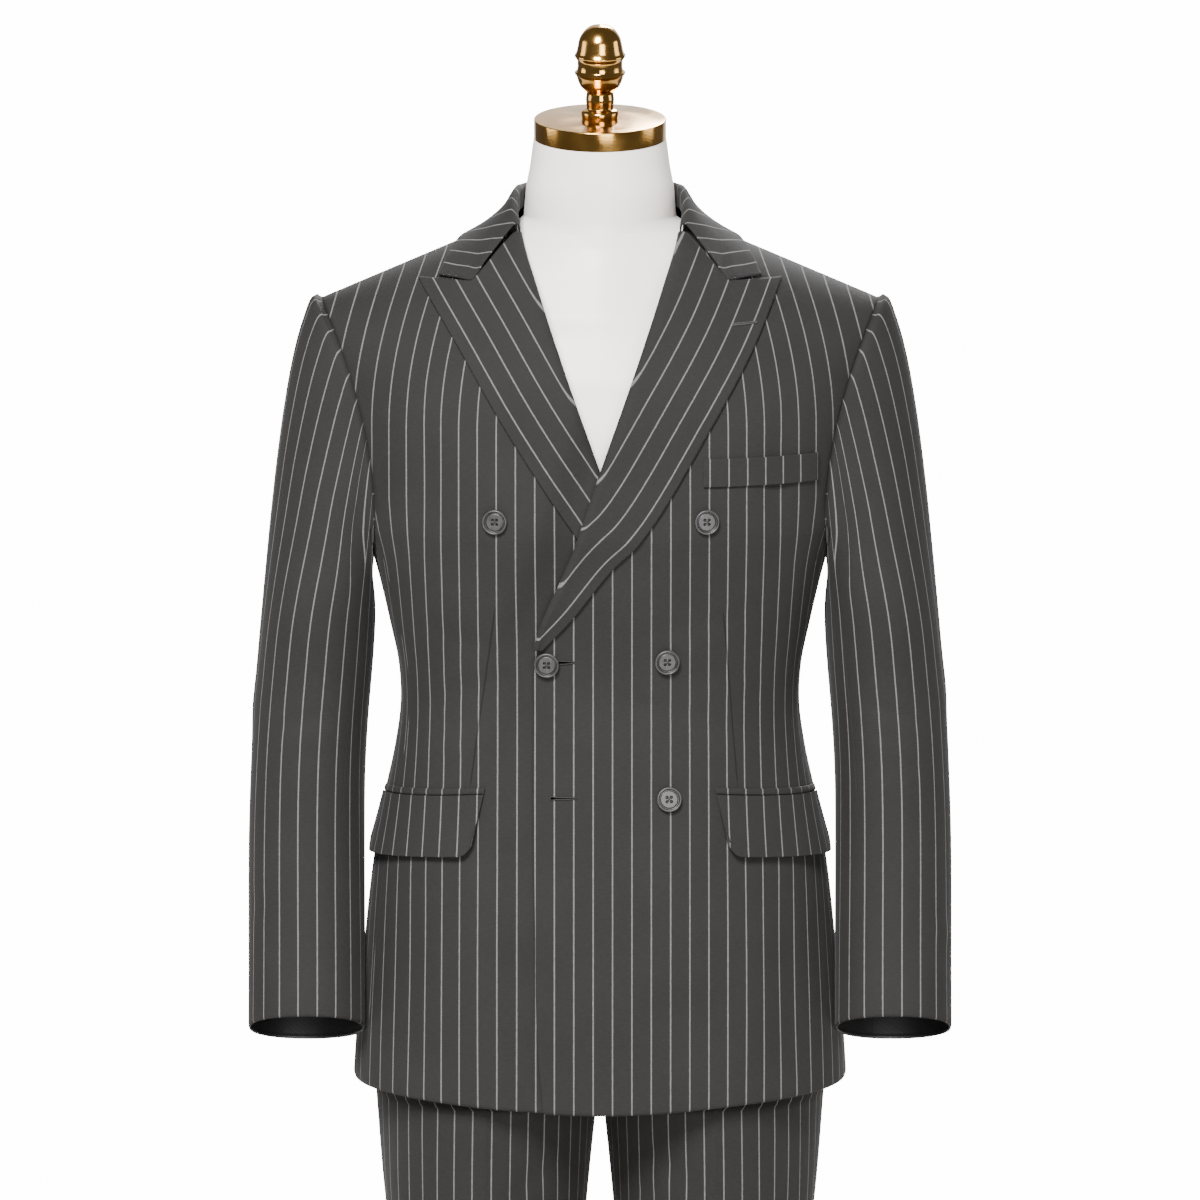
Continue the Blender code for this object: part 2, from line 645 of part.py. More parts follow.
def make_pockets():
    x = np.linspace(*WELT_X, 7)[None, :]
    z = np.linspace(*WELT_Z, 3)[:, None]
    x, z = np.broadcast_arrays(x, z)
    off = normals(front, x, z)
    cloth("breast_welt", front(x, z) + off * (LAYER + WALL), off, WALL, CLOTH)

    angle = FLAP_ANGLES[0] + (FLAP_ANGLES[1] - FLAP_ANGLES[0]) * FLAP_COLUMNS
    top = FLAP_TOP + FLAP_RISE * (1 - FLAP_COLUMNS)
    down = np.linspace(1, 0, 4)[:, None]
    along = (angle - angle[0]) * JACKET_RINGS[3][1]
    from_end = np.minimum(along, along[-1] - along)
    short = np.clip(FLAP_CORNER - from_end, 0, FLAP_CORNER)
    round_off = FLAP_CORNER - np.sqrt(FLAP_CORNER**2 - short**2)
    z = top - down * (FLAP_DROP - round_off)
    lean = angle + FLAP_LEAN * down
    points, normal = on_ring(lean, z)
    lift = LAYER + WALL + FLAP_FLARE * down[..., None] ** FLAP_CURL
    pair("pocket_flap", points + normal * lift, normal, WALL, CLOTH)

    z = top + SEAM + np.array((0.0, JET_HEIGHT))[:, None]
    points, normal = on_ring(np.broadcast_to(angle, (2, len(angle))), z)
    pair("pocket_jet", points + normal * (LAYER + JET_THICK), normal, JET_THICK, CLOTH)


def on_ring(angle, z):
    """Points and level normals of the jacket's rings at an angle and a height."""
    x, y = oval(angle, *table(JACKET_RINGS, z), RING_POWER)
    nx, ny = oval(angle + 1e-3, *table(JACKET_RINGS, z), RING_POWER)
    normal = stack(ny - y, x - nx, 0 * x)
    normal = -normal / np.linalg.norm(normal, axis=-1, keepdims=True)
    return stack(x, y, z), normal * (-1, -1, 1)


def turned(name, profile, finish, sides):
    """A profile at +X, from the top down its outer side, turned round Z."""
    mesh = bpy.data.meshes.new(name)
    vertices = [(radius, 0, height) for radius, height in profile]
    mesh.from_pydata(vertices, [(i, i + 1) for i in range(len(profile) - 1)], [])
    mesh.materials.append(finish)
    made = bpy.data.objects.new(name, mesh)
    PARTS.objects.link(made)
    spin = made.modifiers.new("Screw", "SCREW")
    spin.steps = spin.render_steps = sides
    spin.use_merge_vertices = True
    spin.merge_threshold = 0.00005
    return made


def make_buttons():
    dish = BUTTON_RADIUS - BUTTON_RIM
    floor = BUTTON_THICK - BUTTON_DISH
    profile = ((0.0, floor), (dish - BUTTON_EASE, floor), (dish, BUTTON_THICK - BUTTON_EASE / 4),
               (BUTTON_RADIUS - BUTTON_EASE, BUTTON_THICK), (BUTTON_RADIUS, BUTTON_THICK - BUTTON_EASE),
               (BUTTON_RADIUS - BUTTON_EASE, 0.0), (0.0, 0.0))
    for name, x, z, side, lift in BUTTONS:
        made = turned(name, profile, HORN, BUTTON_SIDES)
        at = np.array([[abs(x) if side < 0 else x]]), np.array([[z]])
        point = front(*at)[0, 0]
        normal = normals(front, np.repeat(at[0], 2, 1), np.repeat(at[1], 2, 1))[0, 0]
        point = point + normal * (lift - (sunk(*at)[0, 0] if side < 0 else 0))
        if side < 0:
            point, normal = mirrored(point), mirrored(normal)
        made.location = Vector(point)
        made.rotation_euler = Vector(normal).to_track_quat("Z", "Y").to_euler()


def hip(angle, z):
    x, y = oval(angle, *table(HIP_RINGS, z), HIP_POWER)
    return stack(x, y, z)


def leg(turn, z):
    """A leg's ring: turn 0 is the inseam, a right angle the front, two the outseam."""
    x0, y0, half_width, ahead, behind = table(LEG_RINGS, z)
    x, y = oval(turn - math.pi / 2, half_width, ahead, behind, LEG_POWER)
    off = np.abs(np.mod(turn, math.pi) - math.pi / 2) / CREASE_WIDTH
    y = y * (1 + CREASE / ahead * np.exp(-(off**2)) * smoothstep((CREASE_TOP - z) / CREASE_FADE))
    return stack(x0 + x, y0 + y, z)


def trouser_panel(share, z, rear):
    """A quarter of the trousers: share 0 is the centre or the inseam, 1 the outseam."""
    angle = share * math.pi / 2
    turn = share * math.pi
    if rear:
        angle = math.pi - angle
        turn = 2 * math.pi - turn
    drop = np.clip((FORK_Z - z) / (FORK_Z - CROTCH_Z), 0, 1)
    down = (1 - np.sqrt(1 - drop**2))[..., None]
    return hip(angle, z) * (1 - down) + leg(turn, z) * down


def make_trousers():
    z = np.array(LEG_STEPS)[:, None]
    share = np.linspace(0, 1, 9)[None, :]
    share, z = np.broadcast_arrays(share, z)
    for name, rear in (("trouser_front", False), ("trouser_back", True)):
        points = trouser_panel(share, z, rear)
        normal = normals(lambda u, v: trouser_panel(u, v, rear), share, z)
        if rear:
            normal = -normal
        side = -1 if rear else 1
        points[:, 0, 0] += SEAM / 2
        points[:, :, 1] -= side * SEAM / 2 * np.where(share > 0.5, 1, 0)
        below = z[:, 0] <= CROTCH_Z
        points[below, 0, 1] -= side * SEAM / 2
        if rear:
            points, normal = points[:, ::-1], normal[:, ::-1]
        pair(name, points, normal, WALL, CLOTH)
    angle = np.linspace(0, 2 * math.pi, 41)[None, :-1]
    z = np.array((TROUSER_TOP + SEAM, BAND_TOP))[:, None]
    angle, z = np.broadcast_arrays(angle, z)
    cloth("waistband", hip(angle, z), normals(hip, angle, z), WALL, CLOTH, closed=True)


def make_form():
    rows = np.array(FORM_RINGS)
    angle = np.linspace(0, 2 * math.pi, FORM_SIDES + 1)[:-1]
    rings = []
    for height, half_width, ahead, behind, centre, power in rows:
        x, y = oval(angle, half_width, ahead, behind, power)
        rings.append(stack(x, y + centre, height))
    points = np.array(rings)
    count = len(rows)
    index = np.arange(count * FORM_SIDES).reshape(count, FORM_SIDES)
    index = np.concatenate([index, index[:, :1]], 1)
    quads = np.stack([index[:-1, :-1], index[:-1, 1:], index[1:, 1:], index[1:, :-1]], -1)
    faces = quads.reshape(-1, 4).tolist()
    faces.append(index[0, :-1][::-1].tolist())
    faces.append(index[-1, :-1].tolist())
    add_object("form_torso", points.reshape(-1, 3), faces, SHELL)

    lean = bpy.data.objects.new("neck_lean", None)
    PARTS.objects.link(lean)
    lean.location = NECK_TOP
    lean.rotation_euler = (NECK_LEAN, 0, 0)
    low = CAP_RADIUS * math.sin(NECK_LEAN) + SEAM
    cap = ((0.0, CAP_HEIGHT), (CAP_RADIUS - CAP_BEVEL, CAP_HEIGHT),
           (CAP_RADIUS, CAP_HEIGHT - CAP_BEVEL), (CAP_RADIUS, 0.0), (0.0, 0.0))
    for name, profile, at, sides in (
            ("neck_cap", cap, low, 40),
            ("finial", FINIAL_PROFILE, low + CAP_HEIGHT + SEAM, 16)):
        made = turned(name, profile, BRASS, sides)
        made.parent = lean
        made.location = (0, 0, at)


def make_stand():
    base = ((0.0, BASE_HEIGHT), (BASE_RADIUS - BASE_BEVEL, BASE_HEIGHT),
            (BASE_RADIUS, BASE_HEIGHT - BASE_BEVEL), (BASE_RADIUS, 0.0), (0.0, 0.0))
    turned("stand_base", base, STEEL, 48)
    low = BASE_HEIGHT + SEAM
    high = FORM_RINGS[0][0] - SEAM
    pole = ((0.0, high), (POLE_RADIUS, high), (POLE_RADIUS, low), (0.0, low))
    made = turned("stand_pole", pole, STEEL, 16)
    made.location = (POLE_X, 0, 0)


for old in list(bpy.data.objects):
    bpy.data.objects.remove(old, do_unlink=True)
PARTS = bpy.data.collections.new("double_breasted_suit")
bpy.context.scene.collection.children.link(PARTS)
CLOTH = material("charcoal_wool", "464544", 0.85)
HORN = material("grey_horn", "5a5757", 0.35)
SHELL = material("off_white_form", "eae5e2", 0.6)
BRASS = material("polished_brass", "c9a35e", 0.2, 1.0)
STEEL = material("stand_steel", "b8b8b8", 0.35, 1.0)

make_fronts()
make_sides_and_backs()
make_lapels()
make_collar()
make_sleeves()
make_pockets()
make_buttons()
make_trousers()
make_form()
make_stand()
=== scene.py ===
"""Looks of a double-breasted suit on a limbless dress form, laid out as a Blender add-on.

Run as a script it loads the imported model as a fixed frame, makes each piece of the suit over its
solid, the form and its stand, and a plain studio. Metres, +Z up. The front faces -Y and the
wearer's left is +X. The origin is the centre of the base's underside.
"""

import math

import bpy
import numpy as np
from bpy.props import FloatProperty, FloatVectorProperty, PointerProperty
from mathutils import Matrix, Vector


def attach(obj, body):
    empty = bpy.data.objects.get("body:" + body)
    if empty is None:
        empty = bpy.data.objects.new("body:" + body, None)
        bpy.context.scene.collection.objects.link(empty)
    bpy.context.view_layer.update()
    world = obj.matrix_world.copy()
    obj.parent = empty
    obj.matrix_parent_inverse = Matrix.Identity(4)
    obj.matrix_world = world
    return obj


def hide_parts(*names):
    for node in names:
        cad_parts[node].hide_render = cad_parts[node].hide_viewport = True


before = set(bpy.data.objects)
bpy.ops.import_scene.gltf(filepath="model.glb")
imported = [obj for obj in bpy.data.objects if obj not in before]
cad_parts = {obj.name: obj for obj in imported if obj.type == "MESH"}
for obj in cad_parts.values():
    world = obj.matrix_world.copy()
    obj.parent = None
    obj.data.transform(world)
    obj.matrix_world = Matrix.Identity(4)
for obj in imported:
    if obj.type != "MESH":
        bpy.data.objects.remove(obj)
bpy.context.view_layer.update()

bl_info = {
    "name": "Double-breasted suit",
    "version": (1, 0, 0),
    "blender": (4, 5, 0),
    "location": "3D View > Sidebar > Suit",
    "description": "Makes a pinstriped double-breasted suit on a dress form",
    "category": "Object",
}

BODY = "root"
UV_NAME = "cloth"
DART_NAME = "dart_distance"
RECESS_NAME = "recess"
# Attribute that holds the painted shade along the armhole's seam
PAINTED_SHADE_NAME = "painted_shade"
FAR = 1.0
SIDES = (("left", 1), ("right", -1))

# Seams of the cloth overlap by a hair, so that no light shows through
SEAM = -0.00004
LAYER = 0.0008
WALL = 0.0020

# Jacket rings from the hem to the armpit: superellipses of this power
RING_POWER = 2.6
JACKET_RINGS = (
    # height, half width, front depth, back depth
    (0.770, 0.2138, 0.146, 0.140),
    (0.818, 0.2110, 0.144, 0.139),
    (0.900, 0.2036, 0.141, 0.137),
    (0.974, 0.1955, 0.136, 0.132),
    (1.026, 0.1870, 0.130, 0.123),
    (1.078, 0.1760, 0.123, 0.112),
    (1.113, 0.1716, 0.119, 0.106),
    (1.148, 0.1733, 0.119, 0.106),
    (1.183, 0.1805, 0.122, 0.111),
    (1.222, 0.1895, 0.128, 0.119),
    (1.270, 0.2030, 0.135, 0.127),
)
HEM_SIDE = 0.790
HEM_DROP = 0.015
ARMPIT = 1.270
ARM_X = 0.1923
ARM_FRONT = math.radians(72.1)
ARM_BACK = math.radians(108.0)
SHOULDER_X = 0.2395
SHOULDER_Z = 1.4608
SHOULDER_SLOPE = 0.4237
SHOULDER_Y = 0.010
NECK_X = 0.076
NECK_DEPTH = 0.062
NECK_RISE = 0.010
UP_POWER = 2.6
OVER_POWER = 1.8

# Front edge of the left front, with the roll line of its lapel above the break point
FRONT_EDGE = (
    # height, x
    (0.770, -0.0475),
    (0.830, -0.0530),
    (0.940, -0.0556),
    (1.113, -0.0563),
    (1.170, -0.0546),
    (1.263, -0.0192),
    (1.320, 0.0000),
    (1.417, 0.0342),
    (1.480, 0.0556),
    (1.522, 0.0690),
    (1.545, 0.0725),
)
BREAK_Z = 1.170
GORGE_Z = 1.522
ROLL_BACK = 0.0015
ROLL_START = 0.012
EDGE_SEARCH = np.linspace(-0.7, 1.2, 401)
SINK = 0.0070
SINK_REACH = 0.045
SINK_WIDTH = 0.035

# Lapel: outer edge from the break to the peak, and the gorge along its top
LAPEL_EDGE = (
    # share of the lapel's length, x, height, x and height on the right lapel in its own mirror
    (0.00, -0.0490, 1.1735, -0.0490, 1.1735),
    (0.14, -0.0237, 1.2012, -0.0300, 1.2060),
    (0.30, 0.0107, 1.2448, 0.0020, 1.2440),
    (0.40, 0.0314, 1.2645, 0.0215, 1.2735),
    (0.68, 0.0933, 1.3630, 0.0840, 1.3705),
    (0.84, 0.1275, 1.4235, 0.1195, 1.4310),
    (1.00, 0.1545, 1.4822, 0.1535, 1.4842),
)
GORGE = (
    # share of the lapel's width, x, height
    (0.00, 0.0690, 1.5205),
    (0.22, 0.0850, 1.5060),
    (0.45, 0.1079, 1.4815),
    (1.00, 0.1545, 1.4822),
)
LAPEL_SECTION = (
    # place along the section, share of the width, x past the roll line, height over the front,
    # height where it is covered
    (0.00, 0.00, -0.0008, -0.0014, -0.0014),
    (0.06, 0.00, -0.0028, 0.0008, 0.0004),
    (0.12, 0.00, -0.0020, 0.0034, 0.0020),
    (0.18, 0.03, 0.0000, 0.0050, 0.0038),
    (0.28, 0.14, 0.0000, 0.0052, 0.0038),
    (0.40, 0.28, 0.0000, 0.0046, 0.0038),
    (0.54, 0.45, 0.0000, 0.0040, 0.0038),
    (0.76, 0.72, 0.0000, 0.0036, 0.0038),
    (1.00, 1.00, 0.0000, 0.0034, 0.0038),
)
LAPEL_FOOT = 0.004

# Collar, left half, from its front end to the centre back
COLLAR_FOLD = (
    # share, x, y, height, height of the stand
    (0.00, 0.0712, -0.0370, 1.5302, 0.0072),
    (0.18, 0.0732, -0.0185, 1.5440, 0.011),
    (0.36, 0.0708, 0.0060, 1.5560, 0.018),
    (0.55, 0.0622, 0.0360, 1.5575, 0.022),
    (0.75, 0.0390, 0.0575, 1.5600, 0.026),
    (1.00, 0.0000, 0.0660, 1.5610, 0.027),
)
COLLAR_EDGE = (
    # share, x, y, height, bulge of the leaf
    (0.00, 0.1385, -0.0455, 1.4880, 0.0005),
    (0.18, 0.1300, -0.0215, 1.5040, -0.0020),
    (0.36, 0.1190, 0.0100, 1.5155, -0.0050),
    (0.55, 0.1020, 0.0450, 1.5140, -0.0040),
    (0.75, 0.0695, 0.0875, 1.5145, -0.0005),
    (1.00, 0.0000, 0.1020, 1.5145, 0.0000),
)
COLLAR_NOTCH = (0.1103, -0.0643, 1.4850)
COLLAR_NOTCH_SHARE = 0.55
COLLAR_NOTCH_FADE = 0.30
COLLAR_FOLD_RADIUS = 0.0032
COLLAR_TURN = ((-1.0, -1.0), (-0.5, -0.2), (0.5, 0.0), (1.3, -0.7))
COLLAR_LEAF = (0.18, 0.36, COLLAR_NOTCH_SHARE, 0.78, 1.0)
COLLAR_BULGE = (0.6, 0.8)
COLLAR_STAND_SHARE = 0.4

# Sleeves: the armhole's loop, then rings down the arm
SLEEVE_GAP = 0.0014
SLEEVE_TUCK = 0.0012
SLEEVE_CLOSE = 0.02
SLEEVE_POWER = 2.2
SLEEVE_RINGS = (
    # height, centre x, centre y, half width, half depth, forward pitch in degrees
    (1.200, 0.2410, 0.0060, 0.0495, 0.0750, 0.0),
    (1.150, 0.2450, 0.0080, 0.0502, 0.0710, 2.0),
    (1.100, 0.2490, 0.0060, 0.0497, 0.0670, 5.0),
    (1.050, 0.2515, -0.0020, 0.0495, 0.0630, 10.0),
    (1.000, 0.2524, -0.0130, 0.0500, 0.0590, 14.0),
    (0.950, 0.2524, -0.0270, 0.0502, 0.0560, 17.0),
    (0.900, 0.2521, -0.0430, 0.0502, 0.0530, 19.0),
    (0.838, 0.2519, -0.0655, 0.0502, 0.0495, 21.0),
)
CAP_EASE = 1.5
CAP_EASE_TOP = 0.46
CAP_EASE_UNDER = 1.30
CAP_STRIPES = 0.45
CAP_TOP = (1.430, 0.035, 0.6)
SLEEVE_EASE = 0.16
SLEEVE_EASE_TURNS = 160
SLEEVE_CALM = (0.20, 0.05)
SLEEVE_HEAD = 0.0050
SLEEVE_HEAD_AT = 0.06
SLEEVE_HEAD_WIDTH = 0.07
SLEEVE_HEAD_START = 0.03
SLEEVE_SEAM_FRONT = math.radians(123)
SLEEVE_SEAM_BACK = math.radians(-110)
SLEEVE_SEAM = -0.00002

# Pockets
WELT_X = (0.0877, 0.1845)
WELT_Z = (1.3145, 1.3385)
WELT_PRESS = 0.0004
FLAP_ANGLES = (math.radians(40.3), math.radians(84))
FLAP_TOP = 1.0380
FLAP_RISE = 0.0110
FLAP_DROP = 0.0525
FLAP_FLARE = 0.0045
FLAP_LEAN = math.radians(1.8)
FLAP_CORNER = 0.012
FLAP_CURL = 1.5
FLAP_WAVE = (0.85, 0.15, 9.0)
JET_HEIGHT = 0.0060
JET_THICK = 0.0012

# Buttons, with a rim round a dish and four holes
BUTTON_RADIUS = 0.0107
BUTTON_THICK = 0.0038
BUTTON_RIM = 0.0019
BUTTON_GROOVE = 0.0081
BUTTON_GROOVE_WIDTH = 0.0008
BUTTON_GROOVE_DEPTH = 0.0008
BUTTON_DISH = 0.0012
BUTTON_HOLE = 0.00115
BUTTON_HOLE_OUT = 0.0026
BUTTON_HOLE_DEPTH = 0.0019
BUTTON_HOLE_TURNS = np.radians((45, 135, 225, 315))
THREAD_RADIUS = 0.00032
THREAD_SHINE = 0.15
THREAD_LIFT = 0.0003
THREAD_DIVE = 0.0015
BUTTON_BACK = (
    # share of the radius, share of the thickness
    (0.55, 0.0),
    (0.90, 0.0),
    (0.97, 0.12),
    (1.00, 0.5),
)
BUTTON_CENTRE = 0.00012
BUTTON_PIT = (1.25, 0.6)
BUTTONS = (
    # name, x, height, side: 1 on the left front and -1 on the right, height over the front
    ("button_upper_right", -0.0892, 1.2850, -1, 0.0004),
    ("button_upper_left", 0.0905, 1.2850, 1, 0.0004),
    ("button_fastened", -0.0453, 1.1610, 1, 0.0012),
    ("button_middle_left", 0.0570, 1.1635, 1, 0.0012),
    ("button_lower_left", 0.0587, 1.0457, 1, 0.0008),
)
BUTTONHOLES = (
    # name, x and height of the eye, of the other end, height over the front, half width beside
    # the eye, half width added at the eye, open
    ("buttonhole_fastened", -0.0380, 1.1628, -0.0222, 1.1630, 0.0006, 0.0011, 0.0, True),
    ("buttonhole_lower", -0.0425, 1.0468, -0.0200, 1.0470, 0.0006, 0.0004, 0.0009, True),
    ("buttonhole_lapel", 0.1120, 1.4475, 0.1322, 1.4485, 0.0041, 0.0001, 0.0003, False),
)
EYE_AT = 0.0016
STITCH_RADIUS = 0.0005
STITCHES = 62
STITCH_SWELL = 0.2
SLIT_LEAST = 0.0001
SLIT_DEPTH = 0.0002

# Trousers
HIP_RINGS = (
    # height, half width, front depth, back depth
    (0.775, 0.1935, 0.1220, 0.1260),
    (0.840, 0.1920, 0.1270, 0.1310),
    (0.900, 0.1855, 0.1270, 0.1310),
    (0.950, 0.1800, 0.1240, 0.1270),
    (1.000, 0.1720, 0.1180, 0.1180),
    (1.0750, 0.1570, 0.1075, 0.1025),
    (1.1130, 0.1570, 0.1070, 0.1020),
)
LEG_RINGS = (
    # height, centre x, centre y, half width, front depth, back depth
    (0.034, 0.0960, 0.0100, 0.0600, 0.0750, 0.0750),
    (0.150, 0.0960, 0.0090, 0.0610, 0.0760, 0.0760),
    (0.300, 0.0960, 0.0070, 0.0640, 0.0790, 0.0790),
    (0.500, 0.0970, 0.0040, 0.0710, 0.0850, 0.0870),
    (0.600, 0.0975, 0.0030, 0.0795, 0.0920, 0.0960),
    (0.700, 0.0985, 0.0010, 0.0893, 0.1040, 0.1090),
    (0.775, 0.0975, 0.0000, 0.0960, 0.1180, 0.1240),
)
HIP_POWER = 2.4
LEG_POWER = 2.1
CREASE = 0.005
CREASE_WIDTH = 0.30
CREASE_TOP = 1.0
CREASE_FADE = 0.2
CROTCH_Z = 0.775
FORK_Z = 0.860
TROUSER_TOP = 1.0750
BAND_TOP = 1.1130
TROUSER_HEM = 0.034

# Dress form and stand
FORM_RINGS = (
    # height, half width, front depth, back depth, centre y, power
    (0.880, 0.1520, 0.105, 0.108, 0.000, 2.2),
    (0.890, 0.1640, 0.114, 0.117, 0.000, 2.2),
    (0.950, 0.1690, 0.117, 0.120, 0.000, 2.3),
    (1.000, 0.1620, 0.111, 0.112, 0.000, 2.3),
    (1.045, 0.1545, 0.105, 0.103, 0.000, 2.4),
    (1.074, 0.1533, 0.1034, 0.0984, 0.000, 2.4),
    (1.114, 0.1533, 0.1034, 0.0984, 0.000, 2.4),
    (1.150, 0.1580, 0.104, 0.099, 0.000, 2.4),
    (1.200, 0.1680, 0.109, 0.106, 0.000, 2.4),
    (1.270, 0.1850, 0.118, 0.114, 0.000, 2.4),
    (1.340, 0.1940, 0.116, 0.114, 0.000, 2.3),
    (1.395, 0.2080, 0.107, 0.102, 0.002, 2.1),
    (1.435, 0.2200, 0.094, 0.082, 0.006, 1.7),
    (1.4572, 0.2335, 0.086, 0.066, 0.010, 1.45),
    (1.4763, 0.1945, 0.080, 0.060, 0.010, 1.45),
    (1.4943, 0.1520, 0.074, 0.056, 0.010, 1.5),
    (1.5103, 0.1140, 0.068, 0.052, 0.010, 1.5),
    (1.5223, 0.0825, 0.0650, 0.0500, 0.009, 1.5),
    (1.5320, 0.0655, 0.0620, 0.0510, 0.007, 1.8),
    (1.5580, 0.0632, 0.0605, 0.0570, 0.003, 2.0),
    (1.5760, 0.0595, 0.0585, 0.0570, 0.001, 2.0),
    (1.5935, 0.0566, 0.0566, 0.0566, -0.001, 2.0),
)
NECK_TOP = (0.0, -0.001, 1.5935)
NECK_LEAN = math.radians(7)
LEAN_START = 1.562
CAP_RADIUS = 0.0566
CAP_HEIGHT = 0.0165
CAP_BEVEL = 0.001
FINIAL_PROFILE = (
    # radius, height over the cap
    (0.0000, 0.0826),
    (0.0072, 0.0812),
    (0.0138, 0.0765),
    (0.0182, 0.0685),
    (0.0198, 0.0602),
    (0.0206, 0.0577),
    (0.0219, 0.0553),
    (0.0206, 0.0530),
    (0.0194, 0.0508),
    (0.0192, 0.0470),
    (0.0196, 0.0430),
    (0.0219, 0.0402),
    (0.0204, 0.0380),
    (0.0192, 0.0342),
    (0.0170, 0.0290),
    (0.0115, 0.0228),
    (0.0122, 0.0170),
    (0.0115, 0.0095),
    (0.0150, 0.0075),
    (0.0161, 0.0055),
    (0.0155, 0.0000),
)
KNOB_CENTRE = 0.0003
POLE_X = 0.096
POLE_RADIUS = 0.0125
BASE_RADIUS = 0.210
BASE_HEIGHT = 0.012
BASE_BEVEL = 0.003

# Stripes: where one lies on each piece, and how they lean towards the neck over the chest
FRONT_STRIPE = 0.0107
BACK_STRIPE = 0.0083
SLEEVE_STRIPE = 0.0065
CHORD_SLOPE = 1.5
LAPEL_STRIPE = {"left_lapel": 0.0089, "right_lapel": 0.0106}
TROUSER_STRIPE = {"left": 0.0078, "right": -0.0052}
COLLAR_SPREAD = 0.05
STRIPE_BLEND = (1.235, 0.07)
STRIPE_SLOPE = 1.12
STRIPE_LEAN = (1.36, 0.146, 0.034)

# Soft creases: where one starts and ends on its piece, half width, depth (a ridge
# is positive) and how far its middle bows aside
FRONT_CREASES = {
    "left": (
        # x, height, twice
        (0.010, 1.128, 0.128, 1.098, 0.0080, -0.0010, 0.006),
        (0.020, 1.185, 0.150, 1.215, 0.0100, -0.0009, -0.006),
        (0.070, 1.130, 0.150, 1.142, 0.0070, 0.0008, 0.003),
        (0.160, 1.385, 0.158, 1.235, 0.0110, -0.0020, -0.008),
        (0.110, 0.985, 0.128, 0.790, 0.0160, 0.0016, 0.004),
        (0.158, 0.975, 0.172, 0.800, 0.0130, -0.0018, -0.004),
        (0.020, 0.930, 0.026, 0.785, 0.0180, -0.0009, 0.003),
    ),
    "right": (
        # x, height, twice
        (0.072, 1.150, 0.152, 1.118, 0.0090, -0.0012, 0.005),
        (0.078, 1.172, 0.158, 1.196, 0.0090, -0.0010, -0.005),
        (0.090, 1.096, 0.150, 1.078, 0.0070, 0.0007, 0.003),
        (0.155, 1.400, 0.160, 1.240, 0.0120, -0.0022, -0.009),
        (0.095, 0.985, 0.108, 0.795, 0.0150, 0.0014, -0.004),
        (0.150, 0.975, 0.160, 0.795, 0.0140, -0.0016, 0.005),
    ),
}
BACK_CREASES = {
    "left": (
        # distance from the centre seam, height, twice
        (0.030, 1.152, 0.150, 1.122, 0.0100, -0.0022, 0.008),
        (0.020, 1.118, 0.130, 1.084, 0.0090, -0.0016, 0.006),
        (0.060, 1.190, 0.172, 1.172, 0.0110, -0.0018, 0.006),
        (0.158, 1.390, 0.168, 1.200, 0.0130, -0.0035, 0.010),
        (0.128, 1.370, 0.146, 1.235, 0.0120, 0.0018, 0.008),
        (0.070, 0.990, 0.082, 0.795, 0.0180, 0.0026, 0.004),
        (0.120, 0.975, 0.140, 0.800, 0.0160, -0.0024, -0.005),
        (0.030, 1.480, 0.100, 1.440, 0.0100, -0.0012, 0.004),
    ),
    "right": (
        # distance from the centre seam, height, twice
        (0.040, 1.160, 0.140, 1.138, 0.0090, -0.0018, 0.006),
        (0.024, 1.126, 0.152, 1.092, 0.0110, -0.0022, 0.009),
        (0.052, 1.205, 0.160, 1.186, 0.0100, -0.0014, 0.005),
        (0.154, 1.402, 0.166, 1.210, 0.0140, -0.0032, 0.011),
        (0.120, 1.360, 0.138, 1.250, 0.0110, 0.0015, 0.006),
        (0.055, 0.975, 0.062, 0.800, 0.0170, 0.0022, -0.004),
        (0.112, 0.985, 0.136, 0.795, 0.0180, -0.0026, 0.006),
    ),
}
SLEEVE_CREASES = {
    "left": (
        # arc from the front line outwards, height, twice
        (-0.030, 1.118, 0.034, 1.096, 0.0070, -0.0012, 0.004),
        (-0.026, 1.092, 0.026, 1.078, 0.0060, -0.0009, 0.003),
        (-0.020, 1.060, 0.040, 1.072, 0.0080, -0.0010, -0.004),
        (0.008, 1.395, 0.022, 1.290, 0.0110, -0.0014, 0.006),
        (0.050, 1.100, 0.125, 1.135, 0.0200, 0.0010, 0.006),
        (0.120, 1.340, 0.150, 1.220, 0.0120, -0.0026, 0.008),
        (0.110, 1.180, 0.160, 1.130, 0.0110, -0.0020, 0.006),
        (0.030, 0.930, 0.075, 0.905, 0.0100, 0.0009, 0.005),
    ),
    "right": (
        # arc from the front line outwards, height, twice
        (-0.028, 1.108, 0.040, 1.090, 0.0080, -0.0012, 0.005),
        (-0.022, 1.076, 0.022, 1.066, 0.0060, -0.0008, 0.003),
        (0.012, 1.380, 0.018, 1.300, 0.0100, -0.0012, 0.004),
        (0.056, 1.130, 0.130, 1.100, 0.0210, 0.0011, -0.006),
        (0.126, 1.352, 0.148, 1.232, 0.0130, -0.0028, 0.009),
        (0.104, 1.166, 0.158, 1.146, 0.0100, -0.0018, 0.005),
        (0.020, 0.948, 0.082, 0.930, 0.0110, -0.0008, 0.006),
    ),
}
